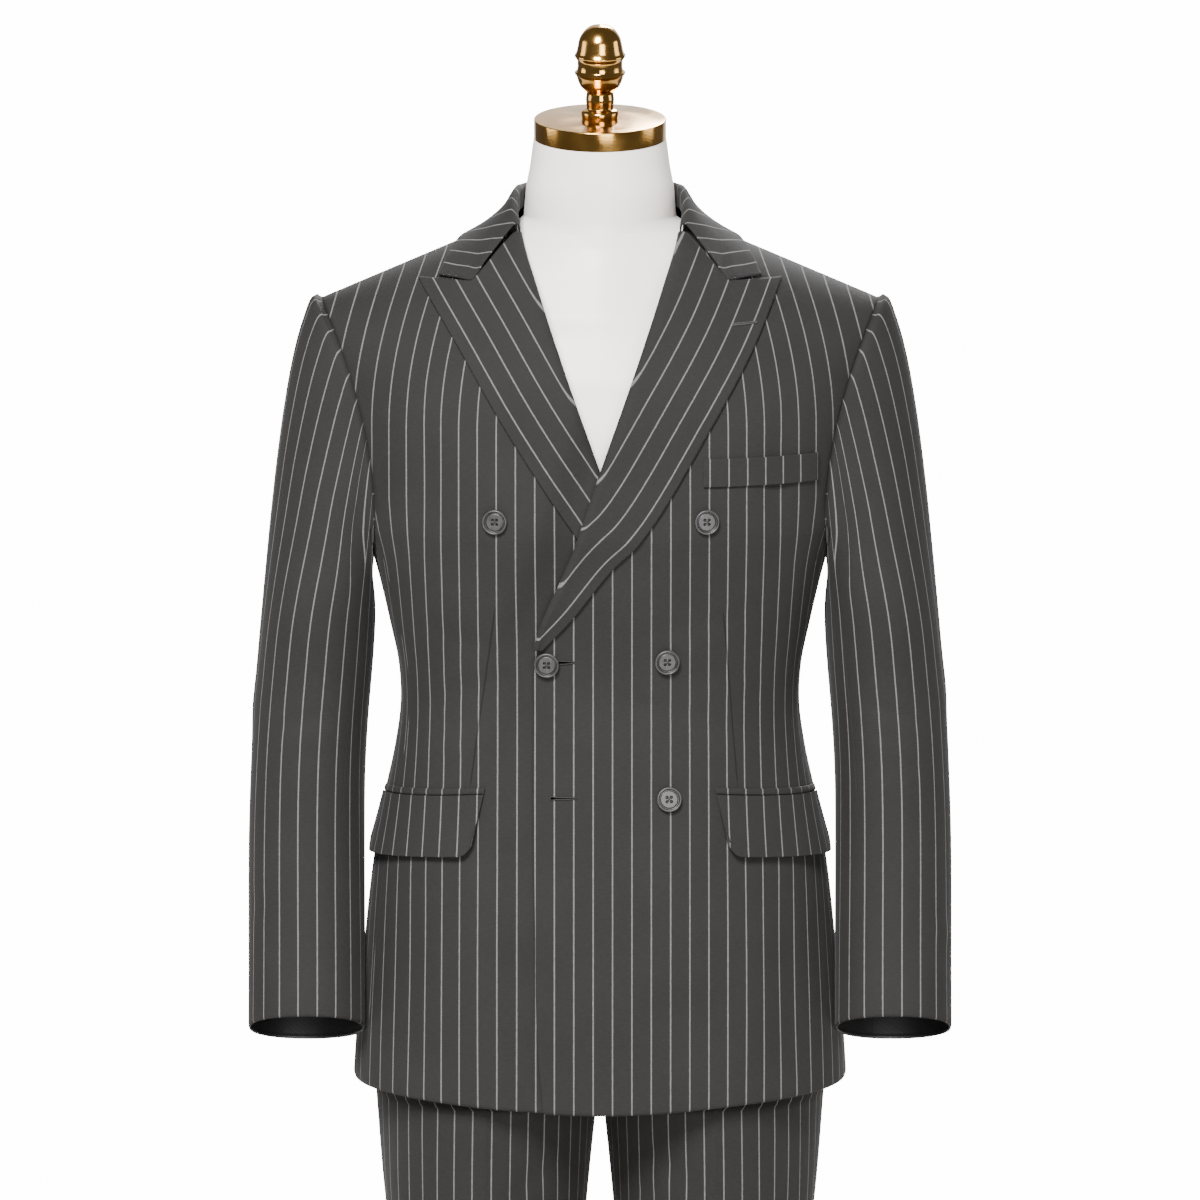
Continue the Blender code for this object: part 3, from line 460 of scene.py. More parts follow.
TROUSER_CREASES = {
    "left_trouser_front": (
        # arc from the pressed crease towards the outseam, height, twice
        (-0.075, 0.740, -0.015, 0.700, 0.0100, -0.0022, 0.006),
        (-0.080, 0.705, -0.030, 0.655, 0.0090, -0.0016, 0.005),
        (-0.070, 0.600, -0.060, 0.470, 0.0120, 0.0018, 0.004),
        (-0.060, 0.482, 0.045, 0.462, 0.0110, -0.0022, 0.006),
        (0.065, 0.420, 0.012, 0.446, 0.0090, -0.0014, 0.004),
        (0.060, 0.745, 0.070, 0.600, 0.0150, -0.0016, 0.005),
        (-0.048, 0.118, 0.040, 0.096, 0.0120, -0.0024, 0.007),
        (0.055, 0.160, -0.010, 0.138, 0.0100, 0.0014, 0.005),
    ),
    "right_trouser_front": (
        # arc from the pressed crease towards the outseam, height, twice
        (-0.078, 0.730, -0.020, 0.686, 0.0110, -0.0020, 0.006),
        (-0.060, 0.660, -0.055, 0.520, 0.0120, 0.0016, 0.005),
        (-0.055, 0.470, 0.050, 0.492, 0.0100, -0.0020, -0.006),
        (0.062, 0.440, 0.010, 0.455, 0.0090, -0.0014, 0.004),
        (0.066, 0.750, 0.072, 0.620, 0.0140, -0.0018, -0.004),
        (-0.050, 0.104, 0.045, 0.122, 0.0120, -0.0022, -0.006),
        (0.050, 0.074, -0.020, 0.082, 0.0100, 0.0012, 0.004),
    ),
    "left_trouser_back": (
        # arc from the pressed crease towards the outseam, height, twice
        (-0.090, 0.800, 0.060, 0.772, 0.0120, -0.0030, 0.010),
        (-0.080, 0.755, 0.040, 0.722, 0.0110, -0.0024, 0.008),
        (-0.060, 0.560, 0.060, 0.536, 0.0110, -0.0030, 0.008),
        (-0.055, 0.524, 0.050, 0.506, 0.0090, -0.0022, 0.006),
        (0.060, 0.492, -0.030, 0.470, 0.0100, -0.0026, -0.006),
        (-0.045, 0.140, 0.055, 0.112, 0.0120, -0.0026, 0.008),
        (0.020, 0.950, 0.030, 0.840, 0.0160, 0.0016, 0.005),
    ),
    "right_trouser_back": (
        # arc from the pressed crease towards the outseam, height, twice
        (-0.085, 0.790, 0.050, 0.756, 0.0120, -0.0028, 0.009),
        (-0.070, 0.738, 0.050, 0.716, 0.0100, -0.0020, 0.007),
        (-0.060, 0.548, 0.064, 0.570, 0.0110, -0.0030, -0.008),
        (-0.050, 0.512, 0.046, 0.520, 0.0090, -0.0022, -0.005),
        (0.055, 0.480, -0.040, 0.458, 0.0100, -0.0022, -0.006),
        (-0.040, 0.096, 0.050, 0.126, 0.0110, -0.0024, -0.007),
    ),
}
CREASE_EDGE = 0.014
TROUSER_SOFTNESS = 0.75
EDGE_ROLL = 0.0008
PRESS = 0.0014
PRESS_WIDTH = 0.0030
PRESS_TOP = 1.02
PRESS_FADE = 0.1
HEM_CALM = 0.02
INSEAM_SHARE = 0.2
OUTSEAM_SHARES = (0.4, 0.4)

# The armhole's seam: its roll, and the painted shade along it from one height to another, narrow at
# the shoulder and wide at the armpit
SEAM_ROLL = 0.0020
SEAM_ROLL_START = 0.06
PAINTED_SHADE_BAND = (1.28, 1.42, 0.0050, 0.0110)
PAINTED_SEAM_SHADE = 0.85

# Cloth: thickness of thin pieces and spacing of the twill
LEAF_THICKNESS = 0.0013
JET_THICKNESS = 0.0006
TWILL = 0.0012

# Rows and columns of the grids
FRONT_GRID = (112, 81, 84)
SIDE_GRID = (112, 26)
BACK_GRID = (104, 77, 74)
LAPEL_GRID = (132, 46)
COLLAR_GRID = (61, 46)
SLEEVE_ROWS = (64, 92)
TOP_SLEEVE_COLUMNS = 66
UNDER_SLEEVE_COLUMNS = 38
WELT_GRID = (18, 60)
FLAP_GRID = (30, 72)
JET_ROWS = 9
TROUSER_ROWS = (150, 34, 44)
TROUSER_COLUMNS = 57
BAND_GRID = (11, 160)
FORM_GRID = (130, 128)
CAP_SIDES = 128
FINIAL_GRID = (110, 72)
BASE_SIDES = 160
POLE_SIDES = 64
BUTTON_SIDES = 96
BUTTON_TURN = 15
BUTTON_INNER = 44
THREAD_STEPS = 13
THREAD_SIDES = 8
HOLE_STEPS = 361
SLIT_GRID = (5, 60)

# Steps of the curves that lengths are read from
ARC_START = -1.3
ARC_GRID = (61, 600)
CHEST_REACH = 0.32
CHEST_STEPS = 800
LOOP_STEPS = (160, 30)
ARM_STEPS = 500
CAP_STEPS = (200, 300)
CAP_AROUND = math.pi * 0.66
CORRECTIONS = 12
TINY = 1e-9

# Front darts from the chest to the pocket: x and height of each end, in each front's own mirror
DARTS = {
    "left_front": (0.1050, 1.2100, 0.1180, 1.0500),
    "right_front": (0.0885, 1.2150, 0.1115, 1.0500),
}

# Lights over and beside the part
LIGHTS = (
    # name, place, width, the property that holds its power, share of it
    ("key_softbox", (-0.9, -3.7, 4.4), 1.6, "key", 1.0),
    ("front_fill", (0.9, -4.6, 1.5), 1.8, "fill", 1.0),
    ("back_fill", (0.4, 5.4, 3.0), 7.0, "back", 1.0),
    ("back_key", (1.0, 4.0, 4.3), 1.8, "key", 0.65),
    ("left_fill", (4.6, 0.2, 2.0), 2.0, "sides", 1.0),
    ("right_fill", (-4.6, 0.2, 2.0), 2.0, "sides", 1.0),
)

# Camera of the photograph: far away, with a long lens
CAMERA_AIM = (0.0, 0.0, 1.2000)
CAMERA_LIFT = math.radians(8)
CAMERA_DISTANCE = 12.0
METRES_PER_PIXEL = 0.00086
PHOTO_WIDTH = 1200
SENSOR = 36.0
VIEW_END = 60.0


def srgb(code):
    """Linear colour of an sRGB hex code."""
    parts = [int(code[i:i + 2], 16) / 255 for i in (0, 2, 4)]
    return [p / 12.92 if p <= 0.04045 else ((p + 0.055) / 1.055) ** 2.4 for p in parts]


def colour(code, name, description):
    return FloatVectorProperty(name=name, description=description, subtype="COLOR", size=3,
                               min=0.0, max=1.0, default=srgb(code))


def power(value, name, description):
    return FloatProperty(name=name, description=description, default=value, min=0.0,
                         unit="POWER")


def length(value, name, description):
    return FloatProperty(name=name, description=description, default=value, min=0.0,
                         unit="LENGTH", precision=5)


def table(rows, at, calm=False):
    """Smooth curves through a table whose first column is the position: one value a column.

    Cubics join the rows, with slopes from their neighbours. A calm curve takes the smaller
    neighbouring slope, or none at a peak, so that it never passes beyond its rows.
    """
    rows = np.asarray(rows, float)
    rows = rows[np.argsort(rows[:, 0])]
    place, values = rows[:, 0], rows[:, 1:]
    slope = np.gradient(values, place, axis=0)
    if calm:
        step = np.diff(values, axis=0) / np.diff(place)[:, None]
        before, after = step[:-1], step[1:]
        small = np.where(np.abs(before) < np.abs(after), before, after)
        slope = np.concatenate([step[:1], np.where(before * after > 0, small, 0), step[-1:]])
    at = np.clip(np.asarray(at, float), place[0], place[-1])
    i = np.clip(np.searchsorted(place, at, side="right") - 1, 0, len(place) - 2)
    width = (place[i + 1] - place[i])[..., None]
    t = (at - place[i])[..., None] / width
    found = ((2 * t**3 - 3 * t**2 + 1) * values[i] + (t**3 - 2 * t**2 + t) * width * slope[i]
             + (3 * t**2 - 2 * t**3) * values[i + 1] + (t**3 - t**2) * width * slope[i + 1])
    return np.moveaxis(found, -1, 0)


def smoothstep(t):
    t = np.clip(t, 0, 1)
    return t * t * (3 - 2 * t)


def stack(x, y, z):
    return np.stack(np.broadcast_arrays(x, y, z), -1)


def mirrored(points):
    """The mirror image of a grid across the centre plane, its columns turned round."""
    return (points * (-1, 1, 1))[:, ::-1]


def packed(count, waves=1, tight=0.85):
    """Shares from 0 to 1, closer together at both ends and, with more waves, between them:
    an even share minus a sine of as many waves."""
    t = np.linspace(0, 1, count)
    return t - tight * np.sin(2 * math.pi * waves * t) / (2 * math.pi * waves)


def running(points, axis):
    """Length along a grid's rows or columns from its first point."""
    steps = np.linalg.norm(np.diff(points, axis=axis), axis=-1)
    start = np.zeros_like(np.take(steps, [0], axis=axis))
    return np.cumsum(np.concatenate([start, steps], axis=axis), axis=axis)


def oval(angle, half_width, front_depth, back_depth, power):
    """Point of a superellipse at a polar angle: 0 is the front, a right angle the side, +X."""
    side, ahead = np.sin(angle), np.cos(angle)
    depth = np.where(ahead > 0, front_depth, back_depth)
    radius = (np.abs(side / half_width) ** power + np.abs(ahead / depth) ** power) ** (-1 / power)
    return radius * side, -radius * ahead


def ridge(x, back):
    """Shoulder seam and, on the back, the neckline: its y and height over a column's x."""
    x = np.abs(x)
    height = SHOULDER_Z + (SHOULDER_X - x) * SHOULDER_SLOPE
    round_neck = np.sqrt(np.clip(1 - (x / NECK_X) ** 2, 0, 1))
    neck_z = SHOULDER_Z + (SHOULDER_X - NECK_X) * SHOULDER_SLOPE + NECK_RISE * round_neck
    inside = back & (x < NECK_X)
    y = np.where(inside, SHOULDER_Y + NECK_DEPTH * round_neck, SHOULDER_Y)
    return y + np.where(back, SEAM / 2, -SEAM / 2), np.where(inside, neck_z, height)


def low_height(angle, level):
    """Height of a point of the jacket below the armpit: the hem drops towards the front."""
    hem = HEM_SIDE - HEM_DROP * np.clip(np.cos(angle), 0, 1) ** 2
    return hem + (ARMPIT - hem) * np.clip(level, 0, 1)


def jacket(angle, level):
    """Outer face of the jacket's body: superellipse rings from the hem, level 0, to the armpit,
    level 1, and above it quarter superellipses up and over to the shoulder seam, level 2."""
    angle, level = np.broadcast_arrays(angle, level)
    low = low_height(angle, level)
    x, y = oval(angle, *table(JACKET_RINGS, low), RING_POWER)
    turn = np.clip(level - 1, 0, 1) * math.pi / 2
    up = np.sin(turn) ** (2 / UP_POWER)
    over = np.cos(turn) ** (2 / OVER_POWER)
    top_x = x * SHOULDER_X / ARM_X
    top_y, top_z = ridge(top_x, np.cos(angle) < 0)
    return stack(x + (top_x - x) * up**2, top_y - (top_y - y) * over, low + (top_z - low) * up)


def front(x, z):
    """Outer face of the jacket's front at a place seen from the front: the same surface, with
    the column through the place found by repeated correction."""
    x, z = np.broadcast_arrays(x, z)
    low = np.minimum(z, ARMPIT)
    half_width, depth, _ = table(JACKET_RINGS, low)
    spread = SHOULDER_X / ARM_X - 1
    column = np.array(x, float)
    for _ in range(CORRECTIONS):
        top_y, top_z = ridge(column * (1 + spread), False)
        up = np.clip((z - ARMPIT) / (top_z - ARMPIT), 0, 1)
        column = x / (1 + spread * up**2)
    y = -depth * np.clip(1 - np.abs(column / half_width) ** RING_POWER, 0, 1) ** (1 / RING_POWER)
    over = (1 - up**UP_POWER) ** (1 / OVER_POWER)
    return stack(x, top_y - (top_y - y) * over, z)


def normals(function, u, v, step=1e-4):
    """Unit normals of function(u, v), on the side of u cross v, by differences inside its range."""
    du = np.where(u + step > u.max(), -step, step)
    dv = np.where(v + step > v.max(), -step, step)
    across = (function(u + du, v) - function(u, v)) / du[..., None]
    along = (function(u, v + dv) - function(u, v)) / dv[..., None]
    found = np.cross(across, along)
    return found / np.linalg.norm(found, axis=-1, keepdims=True)


def grid_normals(points):
    """Unit normals of a grid of points, columns cross rows."""
    found = np.cross(np.gradient(points, axis=1), np.gradient(points, axis=0))
    return found / np.linalg.norm(found, axis=-1, keepdims=True)


def front_edge_angle(level):
    """Angle at which the left front ends at a level: at its edge or behind its lapel's roll."""
    found = []
    for one in level:
        points = jacket(EDGE_SEARCH, one)
        x, z = points[:, 0], points[:, 2]
        edge = table(FRONT_EDGE, z)[0]
        edge = edge + ROLL_BACK * smoothstep((z - BREAK_Z) / ROLL_START + 0.5)
        found.append(np.interp(0, x - edge, EDGE_SEARCH))
    return np.array(found)


def sunk(x, z):
    """Depth by which the right front's outer face lies under the left front, in its own mirror."""
    edge = -table(FRONT_EDGE, z)[0]
    return SINK * smoothstep((edge + SINK_REACH - x) / SINK_WIDTH)


def seam_angle(angle, level, side):
    """An angle moved off its seam by half the seam's gap."""
    radius = np.linalg.norm(jacket(angle, np.minimum(level, 1.0))[..., :2], axis=-1)
    return angle + side * SEAM / 2 / radius


def creases(across, height, rows):
    """Soft troughs and ridges: each is a bell across its line, fading towards both its ends along
    a sine, and its line bows aside by a parabola."""
    total = np.zeros(np.broadcast(across, height).shape)
    for start, low, end, high, width, depth, bow in rows:
        run, rise = end - start, high - low
        size = math.hypot(run, rise)
        share = ((across - start) * run + (height - low) * rise) / size**2
        aside = ((height - low) * run - (across - start) * rise) / size
        aside = aside - bow * 4 * share * (1 - share)
        fade = np.sin(math.pi * np.clip(share, 0, 1)) ** 0.8
        total = total + depth * fade * np.exp(-((aside / width) ** 2))
    return total


def kept_clear(distance):
    """Weight that takes a crease down to nothing at a seam."""
    return smoothstep(distance / CREASE_EDGE)


def rolled(distance, radius=EDGE_ROLL):
    """Depth of a quarter round at an edge, by the distance from it."""
    inside = 1 - np.clip(distance / radius, 0, 1)
    return radius * (1 - np.sqrt(1 - inside**2))


def painted_seam_shade(distance, z):
    """Painted shade by the distance from the armhole's seam, wider towards the armpit."""
    low, high, narrow, wide = PAINTED_SHADE_BAND
    width = wide + (narrow - wide) * smoothstep((z - low) / (high - low))
    return PAINTED_SEAM_SHADE * (1 - np.clip(distance / width, 0, 1)) ** 2


def line_distance(x, z, ends):
    """Signed distance aside of a straight line, and the distance beyond its two ends."""
    x0, z0, x1, z1 = ends
    run, rise = x1 - x0, z1 - z0
    size = math.hypot(run, rise)
    share = ((x - x0) * run + (z - z0) * rise) / size**2
    aside = ((z - z0) * run - (x - x0) * rise) / size
    return stack(aside, (np.abs(share - 0.5) - 0.5) * size, 0)


def ring_arc(angle, height):
    """Arc along the jacket's ring from the front's centre, read from a grid of rings."""
    rows, columns = ARC_GRID
    angles = np.linspace(ARC_START, math.pi, columns)
    heights = np.linspace(JACKET_RINGS[0][0], ARMPIT, rows)
    x, y = oval(angles[None, :], *table(JACKET_RINGS, heights)[..., None], RING_POWER)
    arcs = running(stack(x, y, 0 * x), 1)
    arcs = arcs - np.array([np.interp(0, angles, row) for row in arcs])[:, None]
    angle, height = np.broadcast_arrays(angle, height)
    at = (height - heights[0]) / (heights[1] - heights[0])
    lower = np.clip(at.astype(int), 0, rows - 2)
    across = (angle - angles[0]) / (angles[1] - angles[0])
    before = np.clip(across.astype(int), 0, columns - 2)
    s, t = at - lower, across - before
    return ((arcs[lower, before] * (1 - t) + arcs[lower, before + 1] * t) * (1 - s)
            + (arcs[lower + 1, before] * (1 - t) + arcs[lower + 1, before + 1] * t) * s)


def chest_arc(x, z, back=False):
    """Stripe coordinate over the chest: the armpit ring's arc over x, its slope kept small, on a
    grid that leans towards the neck with the square of the height."""
    low, height, reach = STRIPE_LEAN
    lean = reach * np.clip((z - low) / height, 0, None) ** 2
    _, half_width, front_depth, back_depth = JACKET_RINGS[-1]
    places = np.linspace(0, CHEST_REACH, CHEST_STEPS)
    depth = back_depth if back else front_depth
    inside = np.clip(1 - (places / half_width) ** RING_POWER, TINY, 1)
    slope = np.hypot(1, np.gradient(depth * inside ** (1 / RING_POWER), places))
    slope = np.minimum(slope, STRIPE_SLOPE)
    arc = np.concatenate([[0], np.cumsum(slope[:-1]) * (places[1] - places[0])])
    at = x + lean
    return np.sign(at) * np.interp(np.abs(at), places, arc)


def stripe_weight(z):
    """Share of the chest's stripe coordinate at a height."""
    start, width = STRIPE_BLEND
    return smoothstep((z - start) / width)


def front_stripe(angle, height, x, z):
    """Stripe coordinate of the fronts: the ring's arc, turning into the chest's coordinate."""
    weight = stripe_weight(z)
    return ring_arc(angle, height) * (1 - weight) + chest_arc(x, z) * weight


def new_object(name, vertices, faces, finishes):
    mesh = bpy.data.meshes.new(name)
    mesh.from_pydata(np.asarray(vertices).tolist(), [], faces)
    for finish in finishes:
        mesh.materials.append(finish)
    mesh.shade_smooth()
    made = bpy.data.objects.new(name, mesh)
    bpy.context.scene.collection.objects.link(made)
    return made


def grid_faces(rows, columns, closed=False):
    """Quads of a grid, and the same quads numbered over one more column where it is closed."""
    index = np.arange(rows * columns).reshape(rows, columns)
    wide = index
    if closed:
        wide = np.arange(rows * (columns + 1)).reshape(rows, columns + 1)
        index = np.concatenate([index, index[:, :1]], 1)
    return [np.stack([i[:-1, :-1], i[:-1, 1:], i[1:, 1:], i[1:, :-1]], -1).reshape(-1, 4)
            for i in (index, wide)]


def write_attribute(made, name, kind, field, values):
    """A value at each point of a mesh."""
    attribute_data = made.data.attributes.new(name, kind, "POINT").data
    attribute_data.foreach_set(field, values.astype(np.float32).ravel())


def end_faces(rows, columns):
    """The two faces that close a tube of rings: over its first ring and over its last."""
    return [list(range(columns))[::-1], list(range((rows - 1) * columns, rows * columns))]


def add_grid(name, points, uv, finishes, closed=False, dart=None, painted_shade=None):
    """Mesh of a grid of points, facing columns cross rows, with its map in metres, its distance
    to a dart and its painted shade along the armhole's seam."""
    rows, columns = points.shape[:2]
    faces, corners = grid_faces(rows, columns, closed)
    made = new_object(name, points.reshape(-1, 3), faces.tolist(), finishes)
    layer = made.data.uv_layers.new(name=UV_NAME)
    layer.data.foreach_set("uv", uv.reshape(-1, 2)[corners.ravel()].astype(np.float32).ravel())
    dart = np.full((rows, columns, 3), FAR) if dart is None else dart
    write_attribute(made, DART_NAME, "FLOAT_VECTOR", "vector", dart)
    # Painted shade along the armhole's seam, none by default
    painted_shade = np.zeros((rows, columns)) if painted_shade is None else painted_shade
    write_attribute(made, PAINTED_SHADE_NAME, "FLOAT", "value", painted_shade)
    made.data.update()
    return made


def placed(made, slot, *nodes):
    """A piece rides on the part's one body, and may stand for solids."""
    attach(made, BODY)
    if nodes:
        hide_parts(*nodes)
    return made


def thicken(made, thickness, inner=0):
    """A shell's thickness, inwards from its outer face. Inner faces may have the next finish."""
    shell = made.modifiers.new("Shell", "SOLIDIFY")
    shell.thickness = thickness
    shell.offset = -1
    shell.material_offset = inner


def cloth_piece(name, points, stripe, slot="jacket_cloth", thickness=None,
                dart=None, painted_shade=None, closed=False):
    """A shell of cloth over its solid: map, thickness and body.

    A piece of the right side is given as it would lie on the left, and is mirrored.
    """
    if name.startswith("right_"):
        points = mirrored(points)
        stripe, dart, painted_shade = (value if value is None else value[:, ::-1]
                               for value in (stripe, dart, painted_shade))
    wide = points if not closed else np.concatenate([points, points[:, :1]], 1)
    along = running(wide, 0)
    uv = np.stack(np.broadcast_arrays(stripe, along + wide[:1, :, 2]), -1)
    finishes = [material("worsted_wool_pinstripe", wool)]
    lined = slot == "jacket_cloth"
    if lined:
        finishes.append(material("viscose_twill_lining", lining))
    made = add_grid(name + "_cloth", points, uv, finishes, closed, dart, painted_shade)
    thicken(made, thickness or bpy.context.scene.suit_cloth.thickness, inner=int(lined))
    placed(made, slot, name)
    width = running(wide, 1)[:, -1].max()
    return made


def feed(tree, made, inputs):
    """Sets a shader node's inputs, and links those whose value is another node's output."""
    for key, value in inputs.items():
        socket = made.inputs[key]
        if isinstance(value, bpy.types.NodeSocket):
            tree.links.new(value, socket)
        else:
            socket.default_value = value


def node(tree, kind, inputs=None, **settings):
    """Adds a shader node with its settings and its inputs."""
    made = tree.nodes.new(kind)
    for name, value in settings.items():
        setattr(made, name, value)
    feed(tree, made, inputs or {})
    return made


def material(name, make, *values):
    """The material of this name. Where there is none yet, it is made: make(tree, *values) adds
    its nodes and returns what the Principled shader's inputs take."""
    if name not in bpy.data.materials:
        made = bpy.data.materials.new(name)
        made.use_nodes = True
        tree = made.node_tree
        feed(tree, tree.nodes["Principled BSDF"], make(tree, *values))
    return bpy.data.materials[name]


def maths(tree, operation, *values):
    return node(tree, "ShaderNodeMath", dict(enumerate(values)), operation=operation).outputs[0]


def noise(tree, place, scale, detail=2.0, **more):
    """Noise of a scale per metre, or of one scale along each axis."""
    if isinstance(scale, tuple):
        place = node(tree, "ShaderNodeMapping", {"Vector": place, "Scale": scale}).outputs[0]
        scale = 1.0
    inputs = {"Vector": place, "Scale": scale, "Detail": detail, **more}
    return node(tree, "ShaderNodeTexNoise", inputs).outputs[0]


def wave(tree, place, scale, distortion, direction):
    inputs = {"Vector": place, "Scale": scale, "Distortion": distortion}
    return node(tree, "ShaderNodeTexWave", inputs, bands_direction=direction).outputs["Fac"]


def ranged(tree, value, start=0.0, end=1.0, low=0.0, high=1.0, curve="LINEAR"):
    """A value that runs from start to end, made to run from low to high."""
    inputs = {"Value": value, "From Min": start, "From Max": end, "To Min": low, "To Max": high}
    return node(tree, "ShaderNodeMapRange", inputs, interpolation_type=curve).outputs[0]


def blend(tree, factor, first, second):
    """Mix of two colours, each a property's colour or another node's output."""
    first, second = (one if isinstance(one, bpy.types.NodeSocket) else (*one, 1.0)
                     for one in (first, second))
    inputs = {"Factor": factor, "A": first, "B": second}
    return node(tree, "ShaderNodeMix", inputs, data_type="RGBA").outputs[2]


def toned(tree, value, factor):
    """A colour made lighter or darker by a factor."""
    inputs = {0: value, "Scale": factor}
    return node(tree, "ShaderNodeVectorMath", inputs, operation="SCALE").outputs[0]


def bump(tree, height, strength, distance):
    inputs = {"Height": height, "Strength": strength, "Distance": distance}
    return node(tree, "ShaderNodeBump", inputs).outputs[0]


def attribute(tree, name, output):
    return node(tree, "ShaderNodeAttribute", attribute_name=name).outputs[output]


def object_place(tree):
    return node(tree, "ShaderNodeTexCoord").outputs["Object"]


def wool(tree):
    """Worsted wool, woven in a fine twill with a raised light thread for each stripe.

    The eye sees a dry, matt charcoal with a faint melange, and narrow stripes that are slightly
    broken, because each is one or two threads lying over the weave.
    """
    settings = bpy.context.scene.suit_cloth
    half = settings.stripe_width / 2
    place = node(tree, "ShaderNodeUVMap", uv_map=UV_NAME).outputs["UV"]
    parts = node(tree, "ShaderNodeSeparateXYZ", {0: place}).outputs

    # Melange: slubs 1 mm across and 6 mm long, coarser than the yarn so that they show
    slubs = noise(tree, place, (1000, 160, 1), 3.0, Roughness=0.6)
    wefts = noise(tree, place, (170, 900, 1))
    cloudy = noise(tree, place, 14.0, 3.0)
    melange = maths(tree, "ADD", maths(tree, "ADD", slubs, wefts), cloudy)
    ground = blend(tree, ranged(tree, melange, 1.05, 1.95), settings.wool_dark,
                   settings.wool_light)

    # Stripe: distance to the nearest stripe's middle, made uneven by the fine slubs, and the
    # thread's floats, 5 mm long, which break it
    near = maths(tree, "PINGPONG", parts["X"], settings.stripe_spacing / 2)
    uneven = maths(tree, "MULTIPLY_ADD", slubs, 0.0006, -0.0003)
    line = ranged(tree, maths(tree, "ADD", near, uneven), half * 1.35, half * 0.6,
                  curve="SMOOTHSTEP")
    floats = ranged(tree, noise(tree, place, (200, 900, 1), 1.0), 0.3, 0.6, 0.72, 1.0)
    stripe = maths(tree, "MULTIPLY", line, floats)
    striped = blend(tree, stripe, ground, settings.stripe)

    # Dart: a sewn line, with painted shade in its crease. Along the armhole's seam lies a soft painted
    # shade
    measures = node(tree, "ShaderNodeSeparateXYZ", {0: attribute(tree, DART_NAME, "Vector")}).outputs
    thin = ranged(tree, maths(tree, "ABSOLUTE", measures["X"]), 0.0010, 0.0003,
                  curve="SMOOTHSTEP")
    sewn = maths(tree, "MULTIPLY", thin, ranged(tree, measures["Y"], 0.0, -0.012))
    # Painted shade: the dart's line and the armhole's seam are mixed towards the seam colour
    dark = maths(tree, "MAXIMUM", maths(tree, "MULTIPLY", sewn, 0.55),
                 attribute(tree, PAINTED_SHADE_NAME, "Fac"))

    # Twill: slanted ridges, about twice the real spacing apart so that they show close up
    slant = maths(tree, "ADD", parts["X"], parts["Y"])
    twill = maths(tree, "SINE", maths(tree, "MULTIPLY", slant, 2 * math.pi / TWILL))
    weave = maths(tree, "MULTIPLY_ADD", twill, 0.35, slubs)
    raised = maths(tree, "MULTIPLY_ADD", stripe, 1.2, weave)
    height = maths(tree, "MULTIPLY_ADD", sewn, -4.0, raised)
    return {
        "Base Color": blend(tree, dark, striped, settings.seam),
        "Roughness": ranged(tree, slubs, low=0.74, high=0.92),
        "Normal": bump(tree, height, 0.5, 0.00012),
        "IOR": 1.55,
        "Specular IOR Level": 0.12,
        "Sheen Weight": 0.03,
        "Sheen Roughness": 0.45,
    }


def lining(tree):
    """Viscose twill lining, woven: a plain dark grey with a soft shine along its twill."""
    settings = bpy.context.scene.suit_cloth
    place = object_place(tree)
    tone = blend(tree, noise(tree, place, 60.0, 4.0), settings.seam, settings.lining)
    # Twill ridges 1.5 mm apart, drawn three times as coarse as the real ones
    ridges = wave(tree, place, 105.0, 0.4, "DIAGONAL")
    return {"Base Color": tone, "Roughness": 0.48, "IOR": 1.53,
            "Normal": bump(tree, ridges, 0.25, 0.0001)}


def thread(tree, value, shine):
    """Polyester sewing thread, twisted: close stitches that catch a little light."""
    # Twist of the thread, 0.8 mm long
    twist = noise(tree, object_place(tree), 1250.0)
    tone = ranged(tree, twist, low=0.75, high=1.2)
    return {"Base Color": toned(tree, value, tone), "Roughness": 0.6, "IOR": 1.57,
            "Normal": bump(tree, twist, 0.5, 0.0001), "Specular IOR Level": shine}


def horn(tree):
    """Buffalo horn, turned and polished: mottled grey in streaks, with a soft, waxy gloss."""
    settings = bpy.context.scene.suit_trim
    # Streaks 3 mm apart run across each button
    streaks = noise(tree, object_place(tree), (330, 330, 90), 5.0, Distortion=0.6)
    mottled = blend(tree, ranged(tree, streaks, 0.3, 0.72), settings.horn_dark,
                    settings.horn_light)
    # Painted shade: the turned groove and the pits of the holes take the near-black of an open
    # buttonhole
    recess = attribute(tree, RECESS_NAME, "Fac")
    return {"Base Color": blend(tree, recess, mottled, settings.painted_hole_shade), "IOR": 1.56,
            "Roughness": ranged(tree, streaks, low=0.36, high=0.50),
            "Coat Weight": 0.06, "Coat Roughness": 0.25}


def form_skin(tree):
    """Satin paint on glass-fibre: an off-white with a low, even sheen and a faint orange peel."""
    place = object_place(tree)
    tone = ranged(tree, noise(tree, place, 9.0, 3.0), low=0.965, high=1.02)
    # Orange peel of the sprayed paint, 3 mm across
    peel = noise(tree, place, 330.0, 1.0)
    return {"Base Color": toned(tree, bpy.context.scene.suit_stand.form, tone),
            "Roughness": 0.42, "IOR": 1.5, "Normal": bump(tree, peel, 0.15, 0.0002)}


def brass(tree):
    """Brass, spun and polished: a warm mirror with faint turning marks and fingerprints."""
    place = object_place(tree)
    smears = noise(tree, place, 45.0, 4.0)
    tone = ranged(tree, smears, low=0.92, high=1.05)
    # Turning marks 0.6 mm apart, drawn coarser than the polisher leaves them
    marks = wave(tree, place, 260.0, 0.3, "Z")
    return {"Base Color": toned(tree, bpy.context.scene.suit_stand.brass, tone),
            "Roughness": ranged(tree, smears, 0.35, 0.7, 0.10, 0.22), "Metallic": 1.0,
            "Normal": bump(tree, marks, 0.08, 0.0001)}


